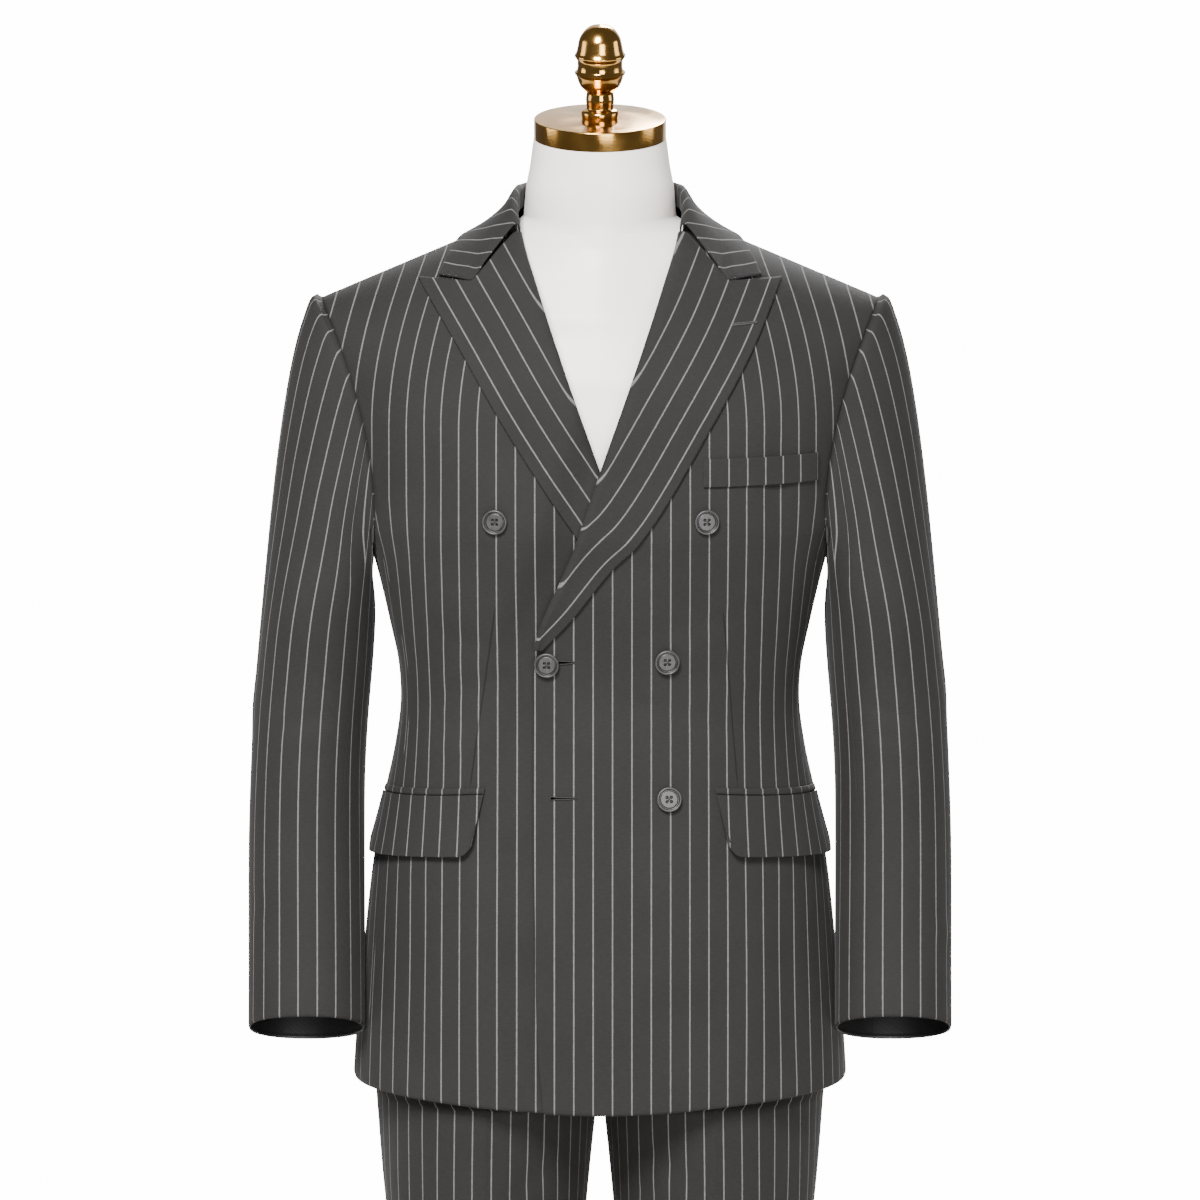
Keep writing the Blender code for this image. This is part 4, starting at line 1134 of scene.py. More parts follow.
def steel(tree):
    """Stainless steel, brushed: a soft grey metal with fine lines that drag its highlights."""
    # Brush lines 0.4 mm apart and 40 mm long
    lines = noise(tree, object_place(tree), (25, 2500, 2500))
    tone = ranged(tree, lines, low=0.85, high=1.08)
    return {"Base Color": toned(tree, bpy.context.scene.suit_stand.steel, tone),
            "Roughness": ranged(tree, lines, low=0.28, high=0.42), "Metallic": 1.0,
            "Normal": bump(tree, lines, 0.12, 0.0001)}


def floor_paint(tree):
    """Matt floor paint: a pale, even grey that takes soft shadows and shows no gloss."""
    tone = ranged(tree, noise(tree, object_place(tree), 3.0), low=0.98)
    return {"Base Color": toned(tree, bpy.context.scene.suit_studio.floor, tone),
            "Roughness": 0.8}


def body_levels(low, high):
    """Rows of a body panel: closer together at the hem and the armpit, even above it."""
    return np.concatenate([packed(low, tight=0.5), 1 + np.linspace(0, 1, high)[1:]])


def body_panel(first, last, levels, columns):
    """Points, normals, angles and levels of a panel of the jacket's body, from the angle at which
    each row starts to the one at which it ends."""
    angle = first[:, None] + (last - first)[:, None] * packed(columns)
    level = np.broadcast_to(levels[:, None], angle.shape)
    return jacket(angle, level), normals(jacket, angle, level), angle, level


def make_fronts():
    """Both fronts: the jacket's surface from the front edge to the armhole seam."""
    levels = body_levels(*FRONT_GRID[:2])
    points, normal, angle, level = body_panel(
        front_edge_angle(levels), seam_angle(ARM_FRONT, levels, -1), levels, FRONT_GRID[2])
    x, z = points[..., 0], points[..., 2]
    stripe = front_stripe(angle, low_height(angle, level), x, z)
    from_edge = running(points, 1)
    from_seam = from_edge[:, -1:] - from_edge
    above = smoothstep((level - 1) / SEAM_ROLL_START)
    edges = rolled(from_edge) + rolled(running(points, 0)) + rolled(from_seam, SEAM_ROLL) * above
    calm = kept_clear(from_seam) * kept_clear(from_edge)
    for side, sign in SIDES:
        name = side + "_front"
        depth = edges + (sunk(x, z) if side == "right" else 0)
        height = creases(x, z, FRONT_CREASES[side]) * calm - depth
        # The front takes painted shade along the armhole's seam
        cloth_piece(name, points + normal * height[..., None], stripe * sign - FRONT_STRIPE,
                    dart=line_distance(x, z, DARTS[name]),
                    painted_shade=painted_seam_shade(from_seam, z) * above)


def make_sides():
    """Side panels under the arms: the jacket's surface between its two side seams."""
    levels = packed(SIDE_GRID[0], tight=0.5)
    points, normal, angle, level = body_panel(
        seam_angle(ARM_FRONT, levels, 1), seam_angle(ARM_BACK, levels, -1), levels, SIDE_GRID[1])
    stripe = ring_arc(angle, low_height(angle, level)) - FRONT_STRIPE
    points = points - normal * rolled(running(points, 0))[..., None]
    for side, _ in SIDES:
        cloth_piece(side + "_side", points, stripe)


def make_backs():
    """Back panels: the jacket's surface from the side seam to the centre back seam."""
    levels = body_levels(*BACK_GRID[:2])
    points, normal, angle, level = body_panel(
        seam_angle(ARM_BACK, levels, 1), seam_angle(math.pi, levels, -1), levels, BACK_GRID[2])
    x, z = points[..., 0], points[..., 2]
    low = low_height(angle, level)
    weight = stripe_weight(z)
    stripe = ring_arc(math.pi, low) - ring_arc(angle, low)
    stripe = stripe * (1 - weight) + chest_arc(x, z, back=True) * weight - BACK_STRIPE
    from_seam = running(points, 1)
    calm = kept_clear(from_seam) * kept_clear(from_seam[:, -1:] - from_seam)
    above = smoothstep((level - 1) / SEAM_ROLL_START)
    hem = rolled(running(points, 0)) + rolled(from_seam, SEAM_ROLL) * above
    for side, _ in SIDES:
        height = creases(x, z, BACK_CREASES[side]) * calm - hem
        # The back takes painted shade along the armhole's seam
        cloth_piece(side + "_back", points + normal * height[..., None], stripe,
                    painted_shade=painted_seam_shade(from_seam, z) * above)


def lapel_places(edge, share, section):
    """A lapel's places seen from the front: rows run up the roll line, columns out to the edge.

    Each row leans from the roll line to the outer edge, and the rows near the top bend, by the
    cube of their share, so that the last one lies on the gorge.
    """
    width, past = section[:2]
    share = share[:, None]
    roll_z = BREAK_Z + LAPEL_FOOT + (GORGE_Z - BREAK_Z - LAPEL_FOOT) * share
    roll_x = table(FRONT_EDGE, roll_z)[0]
    edge_x, edge_z = table(edge, share)
    top_x, top_z = (np.interp(width, *np.array(GORGE)[:, [0, k]].T) for k in (1, 2))
    bend = share**3
    x = roll_x + (edge_x - roll_x) * width
    z = roll_z + (edge_z - roll_z) * width
    x = x + (top_x - (roll_x[-1] + (edge_x[-1] - roll_x[-1]) * width)) * bend
    z = z + (top_z - SEAM / 2 - (roll_z[-1] + (edge_z[-1] - roll_z[-1]) * width)) * bend
    return x, z, past


def distance_to_path(x, z, path_x, path_z):
    """Distance of each place to the nearest point of a path of short straight pieces."""
    start = np.stack([path_x[:-1], path_z[:-1]], -1)
    run = np.stack([path_x[1:], path_z[1:]], -1) - start
    place = np.stack([x, z], -1).reshape(-1, 1, 2)
    share = ((place - start) * run).sum(-1) / (run**2).sum(-1)
    nearest = start + np.clip(share, 0, 1)[..., None] * run
    return np.linalg.norm(place - nearest, axis=-1).min(1).reshape(x.shape)


def make_lapels():
    """Lapels: sections that wrap the roll line and lie out over the front to the peak."""
    section = table(LAPEL_SECTION, packed(LAPEL_GRID[1], tight=0.6))
    share = packed(LAPEL_GRID[0], tight=0.5)
    for name, columns in (("left_lapel", (0, 1, 2)), ("right_lapel", (0, 3, 4))):
        x, z, past = lapel_places(np.array(LAPEL_EDGE)[:, columns], share, section)
        covered = sunk(x, z) * (name == "right_lapel")
        height = section[2] + (section[3] - section[2]) * covered / SINK
        points = front(x, z) + normals(front, x, z) * (height - covered)[..., None]
        points[..., 0] += past
        across = running(points, 1)
        stripe = distance_to_path(x, z, x[:, -1], z[:, -1]) - LAPEL_STRIPE[name]
        points = points - grid_normals(points) * rolled(across[:, -1:] - across)[..., None]
        cloth_piece(name, points, stripe,
                    thickness=LEAF_THICKNESS)


def collar_half():
    """Left half of the collar's outer face: rows from the front end to the centre back, and
    across each row a smooth curve up the stand, over the fold and down the leaf."""
    share = packed(COLLAR_GRID[0], tight=0.4)
    fold = np.stack(table([r[:4] for r in COLLAR_FOLD], share), -1)
    stand = table([(r[0], r[4]) for r in COLLAR_FOLD], share)[0]
    edge = np.stack(table([r[:4] for r in COLLAR_EDGE], share), -1)
    fullness = table([(r[0], r[4]) for r in COLLAR_EDGE], share)
    out = edge - fold
    out[:, 2] = 0
    out /= np.linalg.norm(out, axis=1, keepdims=True)
    radius = COLLAR_FOLD_RADIUS
    up = np.array((0.0, 0.0, 1.0))
    rows = [fold - out * radius - up * stand[:, None]]
    rows.append(fold - out * radius - up * (stand[:, None] * 0.5))
    rows += [fold + (out * over + up * rise) * radius for over, rise in COLLAR_TURN]
    start = rows[-1]
    notch = np.array(COLLAR_NOTCH)
    fade = np.clip(1 - share / COLLAR_NOTCH_FADE, 0, 1)[:, None] ** 2
    bulge_way = out * COLLAR_BULGE[0] + up * COLLAR_BULGE[1]
    for t in COLLAR_LEAF:
        straight = start + (edge - start) * t
        peak = min(t / COLLAR_NOTCH_SHARE, (1 - t) / (1 - COLLAR_NOTCH_SHARE))
        first = start[0] + (edge[0] - start[0]) * COLLAR_NOTCH_SHARE
        bulge = fullness.T * math.sin(math.pi * t**0.8)
        rows.append(straight + (notch - first) * peak * fade + bulge_way * bulge)
    coarse = np.stack(rows, 1)
    place = running(coarse, 1).mean(0)
    place = place / place[-1]
    fine = packed(COLLAR_GRID[1], tight=0.3)
    flat = np.concatenate([place[:, None], coarse.transpose(1, 0, 2).reshape(len(place), -1)], 1)
    curves = table(flat, fine, calm=True).T.reshape(len(fine), len(share), 3)
    return curves.transpose(1, 0, 2)


def make_collar():
    """Collar: both halves in one piece, its stripes crossing the leaf from fold to edge."""
    half = collar_half()
    points = np.concatenate([half, (half * (-1, 1, 1))[::-1][1:]])
    along = running(points, 0)
    along = along - along[len(half) - 1]
    place = running(points, 1)
    leaf = np.clip(place / place[:, -1:] - COLLAR_STAND_SHARE, 0, 1) / (1 - COLLAR_STAND_SHARE)
    fold = np.abs(along[:, int(len(half[0]) * COLLAR_STAND_SHARE)]).max()
    edge = np.abs(along[:, -1]).max()
    stripe = along * (1 + leaf * ((fold + COLLAR_SPREAD) / edge - 1)) - BACK_STRIPE
    to_edge = place[:, -1:] - place
    points = points - grid_normals(points) * rolled(to_edge)[..., None]
    cloth_piece("collar", points, stripe,
                thickness=LEAF_THICKNESS)


def armhole(share):
    """Armhole's edge by share of its length: over the front, under the arm and up the back."""
    fall = np.linspace(2, 1, LOOP_STEPS[0])
    under = np.linspace(ARM_FRONT, ARM_BACK, LOOP_STEPS[1])[1:-1]
    loop = np.concatenate([jacket(ARM_FRONT, fall), jacket(under, 1.0),
                           jacket(ARM_BACK, fall[::-1])])
    size = np.concatenate([[0], np.cumsum(np.linalg.norm(np.diff(loop, axis=0), axis=1))])
    at = np.mod(share, 1.0) * size[-1]
    return np.stack([np.interp(at, size, loop[:, k]) for k in range(3)], -1)


def sleeve_ring(angle, height):
    """A ring of the arm: angle 0 is the outer side, a right angle the front."""
    x0, y0, half_width, half_depth, pitch = table(SLEEVE_RINGS, height)
    pitch = np.radians(pitch)
    depth, width = oval(angle, half_depth, half_width, half_width, SLEEVE_POWER)
    return stack(x0 - width, y0 - depth * np.cos(pitch), height + depth * np.sin(pitch))


def sleeve(angle, level):
    """Outer face of the left sleeve: from the armhole's loop, level 0, eased out to the upper
    arm's ring, level 1, and down the rings of the arm to the hem, level 2."""
    angle, level = np.broadcast_arrays(angle, level)
    top, hem = SLEEVE_RINGS[0][0], SLEEVE_RINGS[-1][0]
    arm = sleeve_ring(angle, top + (hem - top) * np.clip(level - 1, 0, 1))
    gap = (SLEEVE_GAP + SLEEVE_TUCK) * smoothstep(level / SLEEVE_CLOSE) - SLEEVE_TUCK
    start = armhole(angle / (2 * math.pi))
    start = stack(start[..., 0] + gap, start[..., 1], start[..., 2])
    fall = np.clip(level, 0, 1) ** CAP_EASE
    under = (1 - np.cos(angle)) / 2
    out = fall ** (CAP_EASE_TOP + (CAP_EASE_UNDER - CAP_EASE_TOP) * under)
    bump = np.exp(-(((level - SLEEVE_HEAD_AT) / SLEEVE_HEAD_WIDTH) ** 2))
    head = SLEEVE_HEAD * (1 - under) ** 4 * bump * smoothstep(level / SLEEVE_HEAD_START)
    cap = start + (arm - start) * np.stack([out, out, fall], -1)
    cap[..., 2] += head
    return np.where((level < 1)[..., None], cap, arm)


def sleeve_arc(angle, level):
    """Arc round the arm's ring from its front line, outwards positive."""
    fine = np.linspace(-math.pi, math.pi * 1.5, ARM_STEPS)
    rows = []
    for one_angle, one_level in zip(angle, np.maximum(level[:, 0], 1)):
        arc = running(sleeve(fine[None, :], np.full((1, 1), one_level)), 1)[0]
        rows.append(np.interp(math.pi / 2, fine, arc) - np.interp(one_angle, fine, arc))
    return np.array(rows)


def cap_arc(points, angle):
    """Stripe coordinate over the sleeve's cap: the level distance from its outer line, turned
    into an arc of the upper arm, so that stripes run up the arm and end at the armhole."""
    down, around = CAP_STEPS
    outer = sleeve(np.zeros(down), np.linspace(SLEEVE_HEAD_AT, 1, down))
    order = np.argsort(outer[:, 2])
    line_x, line_y = (np.interp(points[..., 2], outer[order, 2], outer[order, k]) for k in (0, 1))
    start, reach, share = CAP_TOP
    near_top = smoothstep((points[..., 2] - start) / reach)
    aside = (points[..., 0] - line_x) * (1 - share * near_top)
    away = np.hypot(aside, points[..., 1] - line_y)
    fine = np.linspace(0, CAP_AROUND, around)
    for sign in (1, -1):
        ring = sleeve(sign * fine, np.ones(around))
        chord = np.linalg.norm(ring[:, :2] - ring[0, :2], axis=1)
        arc = running(ring, 0)
        found = np.interp(away, chord, arc) + np.clip(away - chord[-1], 0, None) * CHORD_SLOPE
        if sign > 0:
            quarter = np.interp(math.pi / 2, fine, arc)
            ahead = quarter - found
        else:
            behind = quarter + found
    return np.where(angle > 0, ahead, behind)


def eased(points, share):
    """Points moved a share of the way to the middle of the rows beside them, many times over."""
    for _ in range(SLEEVE_EASE_TURNS):
        middle = (points[:-2] + points[2:]) / 2
        moved = points.copy()
        moved[1:-1] += (middle - points[1:-1]) * 0.5 * share[1:-1, :, None]
        points = moved
    return points


def make_sleeves():
    """Sleeves in two pieces each: top sleeve and under sleeve, seamed at the front and back."""
    cap_rows, arm_rows = SLEEVE_ROWS
    levels = np.concatenate([packed(cap_rows, tight=0.3)[:-1] ** 1.2,
                             1 + packed(arm_rows, tight=0.4)])[::-1]
    gap = SLEEVE_SEAM / SLEEVE_RINGS[-1][3]
    back, ahead = SLEEVE_SEAM_BACK, SLEEVE_SEAM_FRONT
    spans = (("top_sleeve", back + gap, ahead - gap, TOP_SLEEVE_COLUMNS),
             ("under_sleeve", ahead + gap, back + 2 * math.pi - gap, UNDER_SLEEVE_COLUMNS))
    near_cuff, near_cap = SLEEVE_CALM[1], SLEEVE_CALM[0]
    for name, start, end, columns in spans:
        angle = start + (end - start) * packed(columns)[::-1]
        angle = np.broadcast_to(angle, (len(levels), columns))
        level = np.broadcast_to(levels[:, None], angle.shape)
        points = eased(sleeve(angle, level), np.exp(-(((level - 1) / SLEEVE_EASE) ** 2)))
        normal = grid_normals(points)
        z = points[..., 2]
        arc = sleeve_arc(angle, level)
        stripe = arc
        if name == "top_sleeve":
            weight = smoothstep((1 - level) / CAP_STRIPES)
            stripe = arc * (1 - weight) + cap_arc(points, angle) * weight
        across = running(points, 1)
        calm = kept_clear(across) * kept_clear(across[:, -1:] - across)
        calm = calm * smoothstep(level / near_cap) * smoothstep((2 - level) / near_cuff)
        hem = rolled(running(points, 0))
        # Painted shade along the armhole's seam
        painted_shade = painted_seam_shade(running(points[::-1], 0)[::-1], z)
        for side, _ in SIDES:
            height = creases(arc, z, SLEEVE_CREASES[side]) * calm - hem
            cloth_piece(f"{side}_{name}", points + normal * height[..., None],
                        stripe - SLEEVE_STRIPE,
                        painted_shade=painted_shade)


def on_ring(angle, z):
    """Points and level normals of the jacket's rings at an angle and a height."""
    x, y = oval(angle, *table(JACKET_RINGS, z), RING_POWER)
    next_x, next_y = oval(angle + 1e-3, *table(JACKET_RINGS, z), RING_POWER)
    normal = stack(y - next_y, next_x - x, 0 * x)
    normal = normal / np.linalg.norm(normal, axis=-1, keepdims=True)
    return stack(x, y, z), normal * (-1, -1, 1)


def end_rolls(across):
    """Depth of the quarter rounds at both ends of a piece's rows."""
    return rolled(across) + rolled(across[:, -1:] - across)


def pocket_pair(name, points, stripe, thickness=None):
    """A pocket's piece on both sides of the jacket."""
    for side, sign in SIDES:
        cloth_piece(f"{side}_{name}", points, sign * stripe - FRONT_STRIPE,
                    thickness=thickness)


def make_pockets():
    """Breast welt, pocket flaps and jets, each made from the points of what it lies on."""
    rows, columns = WELT_GRID
    x, z = np.broadcast_arrays((WELT_X[0] + (WELT_X[1] - WELT_X[0]) * packed(columns))[None, :],
                               (WELT_Z[0] + (WELT_Z[1] - WELT_Z[0]) * packed(rows))[:, None])
    points, normal = front(x, z), normals(front, x, z)
    up = running(points, 0)
    edges = end_rolls(running(points, 1)) + rolled(up[-1:] - up) + rolled(up)
    lift = LAYER + WALL - WELT_PRESS - edges
    cloth_piece("breast_welt", points + normal * lift[..., None],
                chest_arc(x, z) - FRONT_STRIPE)

    share = packed(FLAP_GRID[1], tight=0.92)
    angle = FLAP_ANGLES[0] + (FLAP_ANGLES[1] - FLAP_ANGLES[0]) * share
    top = FLAP_TOP + FLAP_RISE * (1 - share)
    down = packed(FLAP_GRID[0])[::-1, None]
    along = (angle - angle[0]) * JACKET_RINGS[3][1]
    from_end = np.minimum(along, along[-1] - along)
    short = np.clip(FLAP_CORNER - from_end, 0, FLAP_CORNER)
    round_off = FLAP_CORNER - np.sqrt(FLAP_CORNER**2 - short**2)
    z = top - down * (FLAP_DROP - round_off)
    leant = angle + FLAP_LEAN * down
    points, normal = on_ring(leant, z)
    edges = end_rolls(running(points, 1)) + rolled(running(points, 0))
    mean, swing, turns = FLAP_WAVE
    flare = FLAP_FLARE * (down**FLAP_CURL) * (mean + swing * np.cos(share * turns))
    points = points + normal * (LAYER + WALL + flare - edges)[..., None]
    pocket_pair("pocket_flap", points, ring_arc(leant, z))

    rise = np.linspace(0, 1, JET_ROWS)[:, None]
    z = top + SEAM + JET_HEIGHT * rise
    angle = np.broadcast_to(angle, z.shape)
    points, normal = on_ring(angle, z)
    round_top = np.sqrt(np.clip(1 - (2 * rise - 1) ** 2, 0, 1)) * 0.5 + 0.5
    points = points + normal * ((LAYER + JET_THICK) * round_top)[..., None]
    pocket_pair("pocket_jet", points, ring_arc(angle, z), JET_THICKNESS)


def button_points():
    """A button round Z: rings of points over its rim, its dish with four pits, and its back, and
    how deep each point lies in a groove or a pit, which sets its painted shade.

    The height over the radius is a rim whose section is half a superellipse, a groove shaped as a
    bell, a flat dish, and in it a smooth pit round each of four hole centres.
    """
    angle = np.linspace(0, 2 * math.pi, BUTTON_SIDES + 1)[:-1]
    back = np.array(BUTTON_BACK)[:, :1] * BUTTON_RADIUS
    back_height = np.array(BUTTON_BACK)[:, 1:] * BUTTON_THICK
    turn = np.linspace(0, math.pi, BUTTON_TURN)[1:, None]
    rim = BUTTON_RIM / 2
    over = BUTTON_RADIUS - rim + rim * np.cos(turn)
    rounded = np.sin(turn) ** 0.8
    side = BUTTON_THICK - BUTTON_DISH
    over_height = np.where(turn < math.pi / 2, BUTTON_THICK * (0.5 + 0.5 * rounded),
                           side + BUTTON_DISH * rounded)
    inner = np.linspace(over[-1, 0], BUTTON_CENTRE, BUTTON_INNER)[1:, None]
    radius = np.concatenate([back, over, inner])
    height = np.concatenate([back_height, over_height, np.full_like(inner, side)])
    x, y = radius * np.cos(angle), radius * np.sin(angle)
    groove = np.exp(-(((radius - BUTTON_GROOVE) / BUTTON_GROOVE_WIDTH) ** 4)) * np.ones_like(x)
    groove[:len(back) + 4] = 0
    height = height - BUTTON_GROOVE_DEPTH * groove
    recess = groove
    wide, soft = BUTTON_PIT
    for turn_to in BUTTON_HOLE_TURNS:
        away = np.hypot(x - BUTTON_HOLE_OUT * math.cos(turn_to),
                        y - BUTTON_HOLE_OUT * math.sin(turn_to))
        pit = smoothstep((BUTTON_HOLE * wide - away) / (BUTTON_HOLE * soft))
        pit = pit * (radius < BUTTON_RADIUS / 2)
        height = height - BUTTON_HOLE_DEPTH * pit
        recess = np.maximum(recess, pit)
    return stack(x, y, height), recess


def along_normal(points, place, normal):
    """Points made round Z, turned so that Z lies along a normal, and moved to a place."""
    turn = np.array(Vector(normal).to_track_quat("Z", "Y").to_matrix())
    return points @ turn.T + place


def tube(path, radius, sides, axis=(0, 0, 1.0)):
    """Tube round a path: rings set square to it by its direction and an axis across it."""
    direction = np.gradient(path, axis=0)
    direction /= np.linalg.norm(direction, axis=1, keepdims=True)
    side = np.cross(direction, axis)
    side /= np.maximum(np.linalg.norm(side, axis=1, keepdims=True), TINY)
    up = np.cross(side, direction)
    turn = np.linspace(0, 2 * math.pi, sides + 1)[:-1]
    radius = np.broadcast_to(radius, (len(path),))[:, None, None]
    return path[:, None] + radius * (np.cos(turn)[:, None] * side[:, None]
                                     + np.sin(turn)[:, None] * up[:, None])


def make_buttons():
    """Five horn buttons with the threads that hold them."""
    settings = bpy.context.scene.suit_trim
    shape, recess = button_points()
    rows, columns = shape.shape[:2]
    faces = grid_faces(rows, columns, closed=True)[0].tolist()
    faces += end_faces(rows, columns)
    span = BUTTON_HOLE_OUT * math.sqrt(0.5)
    t = np.linspace(-1, 1, THREAD_STEPS)
    lift = BUTTON_THICK - BUTTON_DISH + THREAD_LIFT - THREAD_DIVE * t**4
    threads = np.array([tube(stack(span * t, span * t * row, lift + THREAD_LIFT * (row > 0)),
                             THREAD_RADIUS, THREAD_SIDES) for row in (-1, 1)])
    for name, x, z, side, raised in BUTTONS:
        at = np.array([[abs(x), abs(x)]] if side < 0 else [[x, x]]), np.array([[z, z]])
        point, normal = front(*at)[0, 0], normals(front, *at)[0, 0]
        point = point + normal * (raised - (sunk(*at)[0, 0] if side < 0 else 0))
        if side < 0:
            point, normal = point * (-1, 1, 1), normal * (-1, 1, 1)
        turned = along_normal(shape.reshape(-1, 3), point, normal)
        made = new_object(name + "_horn", turned, faces, [material("polished_horn", horn)])
        made.data.set_sharp_from_angle(angle=math.radians(60))
        # Share of painted shade in the groove and the pits
        write_attribute(made, RECESS_NAME, "FLOAT", "value", recess)
        placed(made, "buttons", name)
        strands = []
        for number, one in enumerate(threads):
            quads = grid_faces(*one.shape[:2], closed=True)[0] + number * one[..., 0].size
            strands += quads.tolist()
        sewn = new_object(name + "_thread", along_normal(threads.reshape(-1, 3), point, normal),
                          strands, [material("button_thread", thread, settings.thread_dark,
                                             THREAD_SHINE)])
        placed(sewn, "buttons")


def make_buttonholes():
    """Worked buttonholes: an outline of close stitches round the opening, and what fills it: in an
    open one a near-black sheet of painted shade.

    Half the opening's width is a power of the share left to the far end, with a bell added for
    the eye. The outline's tube swells once for each stitch.
    """
    settings = bpy.context.scene.suit_trim
    turn = np.linspace(0, 2 * math.pi, HOLE_STEPS)
    share = (1 - np.cos(turn)) / 2
    sides = np.sign(np.sin(turn)) * np.abs(np.sin(turn)) ** 0.3
    for name, x0, z0, x1, z1, lift, wide, eye, dark in BUTTONHOLES:
        size = math.hypot(x1 - x0, z1 - z0)
        along = np.array((x1 - x0, z1 - z0)) / size

        def placed_at(t, offset, over):
            x = x0 + along[0] * t * size - along[1] * offset
            z = z0 + along[1] * t * size + along[0] * offset
            x, z = np.atleast_2d(x), np.atleast_2d(z)
            return front(x, z) + normals(front, x, z) * over

        def half(t):
            bell = np.exp(-(((t * size - EYE_AT) / EYE_AT) ** 2))
            return wide * (1 - t) ** 0.8 + eye * bell + SLIT_LEAST

        path = placed_at(share, sides * (half(share) + STITCH_RADIUS), lift)[0]
        swell = 1 + STITCH_SWELL * np.sin(turn * STITCHES)
        ring = tube(path, STITCH_RADIUS * swell, THREAD_SIDES, (0, -1.0, 0))[:-1].transpose(1, 0, 2)
        index = np.pad(np.arange(ring[..., 0].size).reshape(ring.shape[:2]), (0, 1), mode="wrap")
        quads = np.stack([index[:-1, :-1], index[1:, :-1], index[1:, 1:], index[:-1, 1:]], -1)
        stitches = material("buttonhole_thread" if dark else "lapel_buttonhole_thread", thread,
                            settings.thread_dark if dark else settings.thread_light,
                            THREAD_SHINE)
        made = new_object(name, ring.reshape(-1, 3), quads.reshape(-1, 4).tolist(), [stitches])
        placed(made, "jacket_cloth")
        rows, columns = SLIT_GRID
        t = np.linspace(0.01, 0.98, columns)[None, :]
        bed = placed_at(t, np.linspace(-1, 1, rows)[:, None] * half(t), lift - SLIT_DEPTH)
        # An open buttonhole is filled with a near-black sheet of painted shade
        fill = material("buttonhole_painted_shade", thread, settings.painted_hole_shade, 0.0) if dark else stitches
        filled = new_object(name + "_slit", bed.reshape(-1, 3), grid_faces(*SLIT_GRID)[0].tolist(),
                            [fill])
        thicken(filled, SLIT_DEPTH)
        placed(filled, "jacket_cloth")


def hip(angle, z):
    x, y = oval(angle, *table(HIP_RINGS, z), HIP_POWER)
    return stack(x, y, z)


def leg(turn, z):
    """A leg's ring: turn 0 is the inseam, a right angle the front, two the outseam."""
    x0, y0, half_width, ahead, behind = table(LEG_RINGS, z)
    x, y = oval(turn - math.pi / 2, half_width, ahead, behind, LEG_POWER)
    off = np.abs(np.mod(turn, math.pi) - math.pi / 2) / CREASE_WIDTH
    y = y * (1 + CREASE / ahead * np.exp(-(off**2)) * smoothstep((CREASE_TOP - z) / CREASE_FADE))
    return stack(x0 + x, y0 + y, z)


def trouser_panel(share, z, rear):
    """A quarter of the trousers, from the hips' ring down into a leg's ring below the fork:
    share 0 is the centre or the inseam, 1 the outseam."""
    angle = share * math.pi / 2
    turn = share * math.pi
    if rear:
        angle = math.pi - angle
        turn = 2 * math.pi - turn
    drop = np.clip((FORK_Z - z) / (FORK_Z - CROTCH_Z), 0, 1)
    down = (1 - np.sqrt(1 - drop**2))[..., None]
    return hip(angle, z) * (1 - down) + leg(turn, z) * down


def make_trousers():
    """Trousers: four quarter panels with pressed creases, and the waistband."""
    share = packed(TROUSER_COLUMNS, waves=2, tight=0.8)[None, :]
    legs, fork, hips = TROUSER_ROWS
    z = np.concatenate([np.linspace(TROUSER_HEM, CROTCH_Z, legs),
                        np.linspace(CROTCH_Z, FORK_Z, fork)[1:],
                        np.linspace(FORK_Z, TROUSER_TOP, hips)[1:]])[:, None]
    share, z = np.broadcast_arrays(share, z)
    for name, rear in (("trouser_front", False), ("trouser_back", True)):
        points = trouser_panel(share, z, rear)
        side = -1 if rear else 1
        normal = normals(lambda u, v: trouser_panel(u, v, rear), share, z) * side
        points[:, 0, 0] += SEAM / 2
        start, reach = OUTSEAM_SHARES
        points[..., 1] -= side * SEAM / 2 * smoothstep((share - start) / reach)
        inseam = (z <= CROTCH_Z) * (1 - smoothstep(share / INSEAM_SHARE))
        points[..., 1] -= side * SEAM / 2 * inseam
        across = running(points, 1)
        arc = across - np.array([np.interp(0.5, share[0], row) for row in across])[:, None]
        pressed = PRESS * np.exp(-np.abs(arc) / PRESS_WIDTH) * smoothstep((PRESS_TOP - z) / PRESS_FADE)
        calm = kept_clear(across) * kept_clear(across[:, -1:] - across)
        calm = calm * smoothstep((z - TROUSER_HEM) / HEM_CALM)
        hem = rolled(running(points, 0))
        for leg_side, _ in SIDES:
            full = f"{leg_side}_{name}"
            soft = creases(arc, points[..., 2], TROUSER_CREASES[full]) * calm * TROUSER_SOFTNESS
            shaped = points + normal * (soft + pressed - hem)[..., None]
            stripe = arc - TROUSER_STRIPE[leg_side]
            if rear:
                shaped, stripe = shaped[:, ::-1], stripe[:, ::-1]
            cloth_piece(full, shaped, stripe, slot="trouser_cloth")
    rows, columns = BAND_GRID
    angle = np.linspace(0, 2 * math.pi, columns + 1)[None, :-1]
    z = np.linspace(TROUSER_TOP + SEAM, BAND_TOP, rows)[:, None]
    angle, z = np.broadcast_arrays(angle, z)
    points = hip(angle, z)
    wide = np.concatenate([points, points[:, :1]], 1)
    cloth_piece("waistband", points, running(wide, 1),
                slot="trouser_cloth", closed=True)


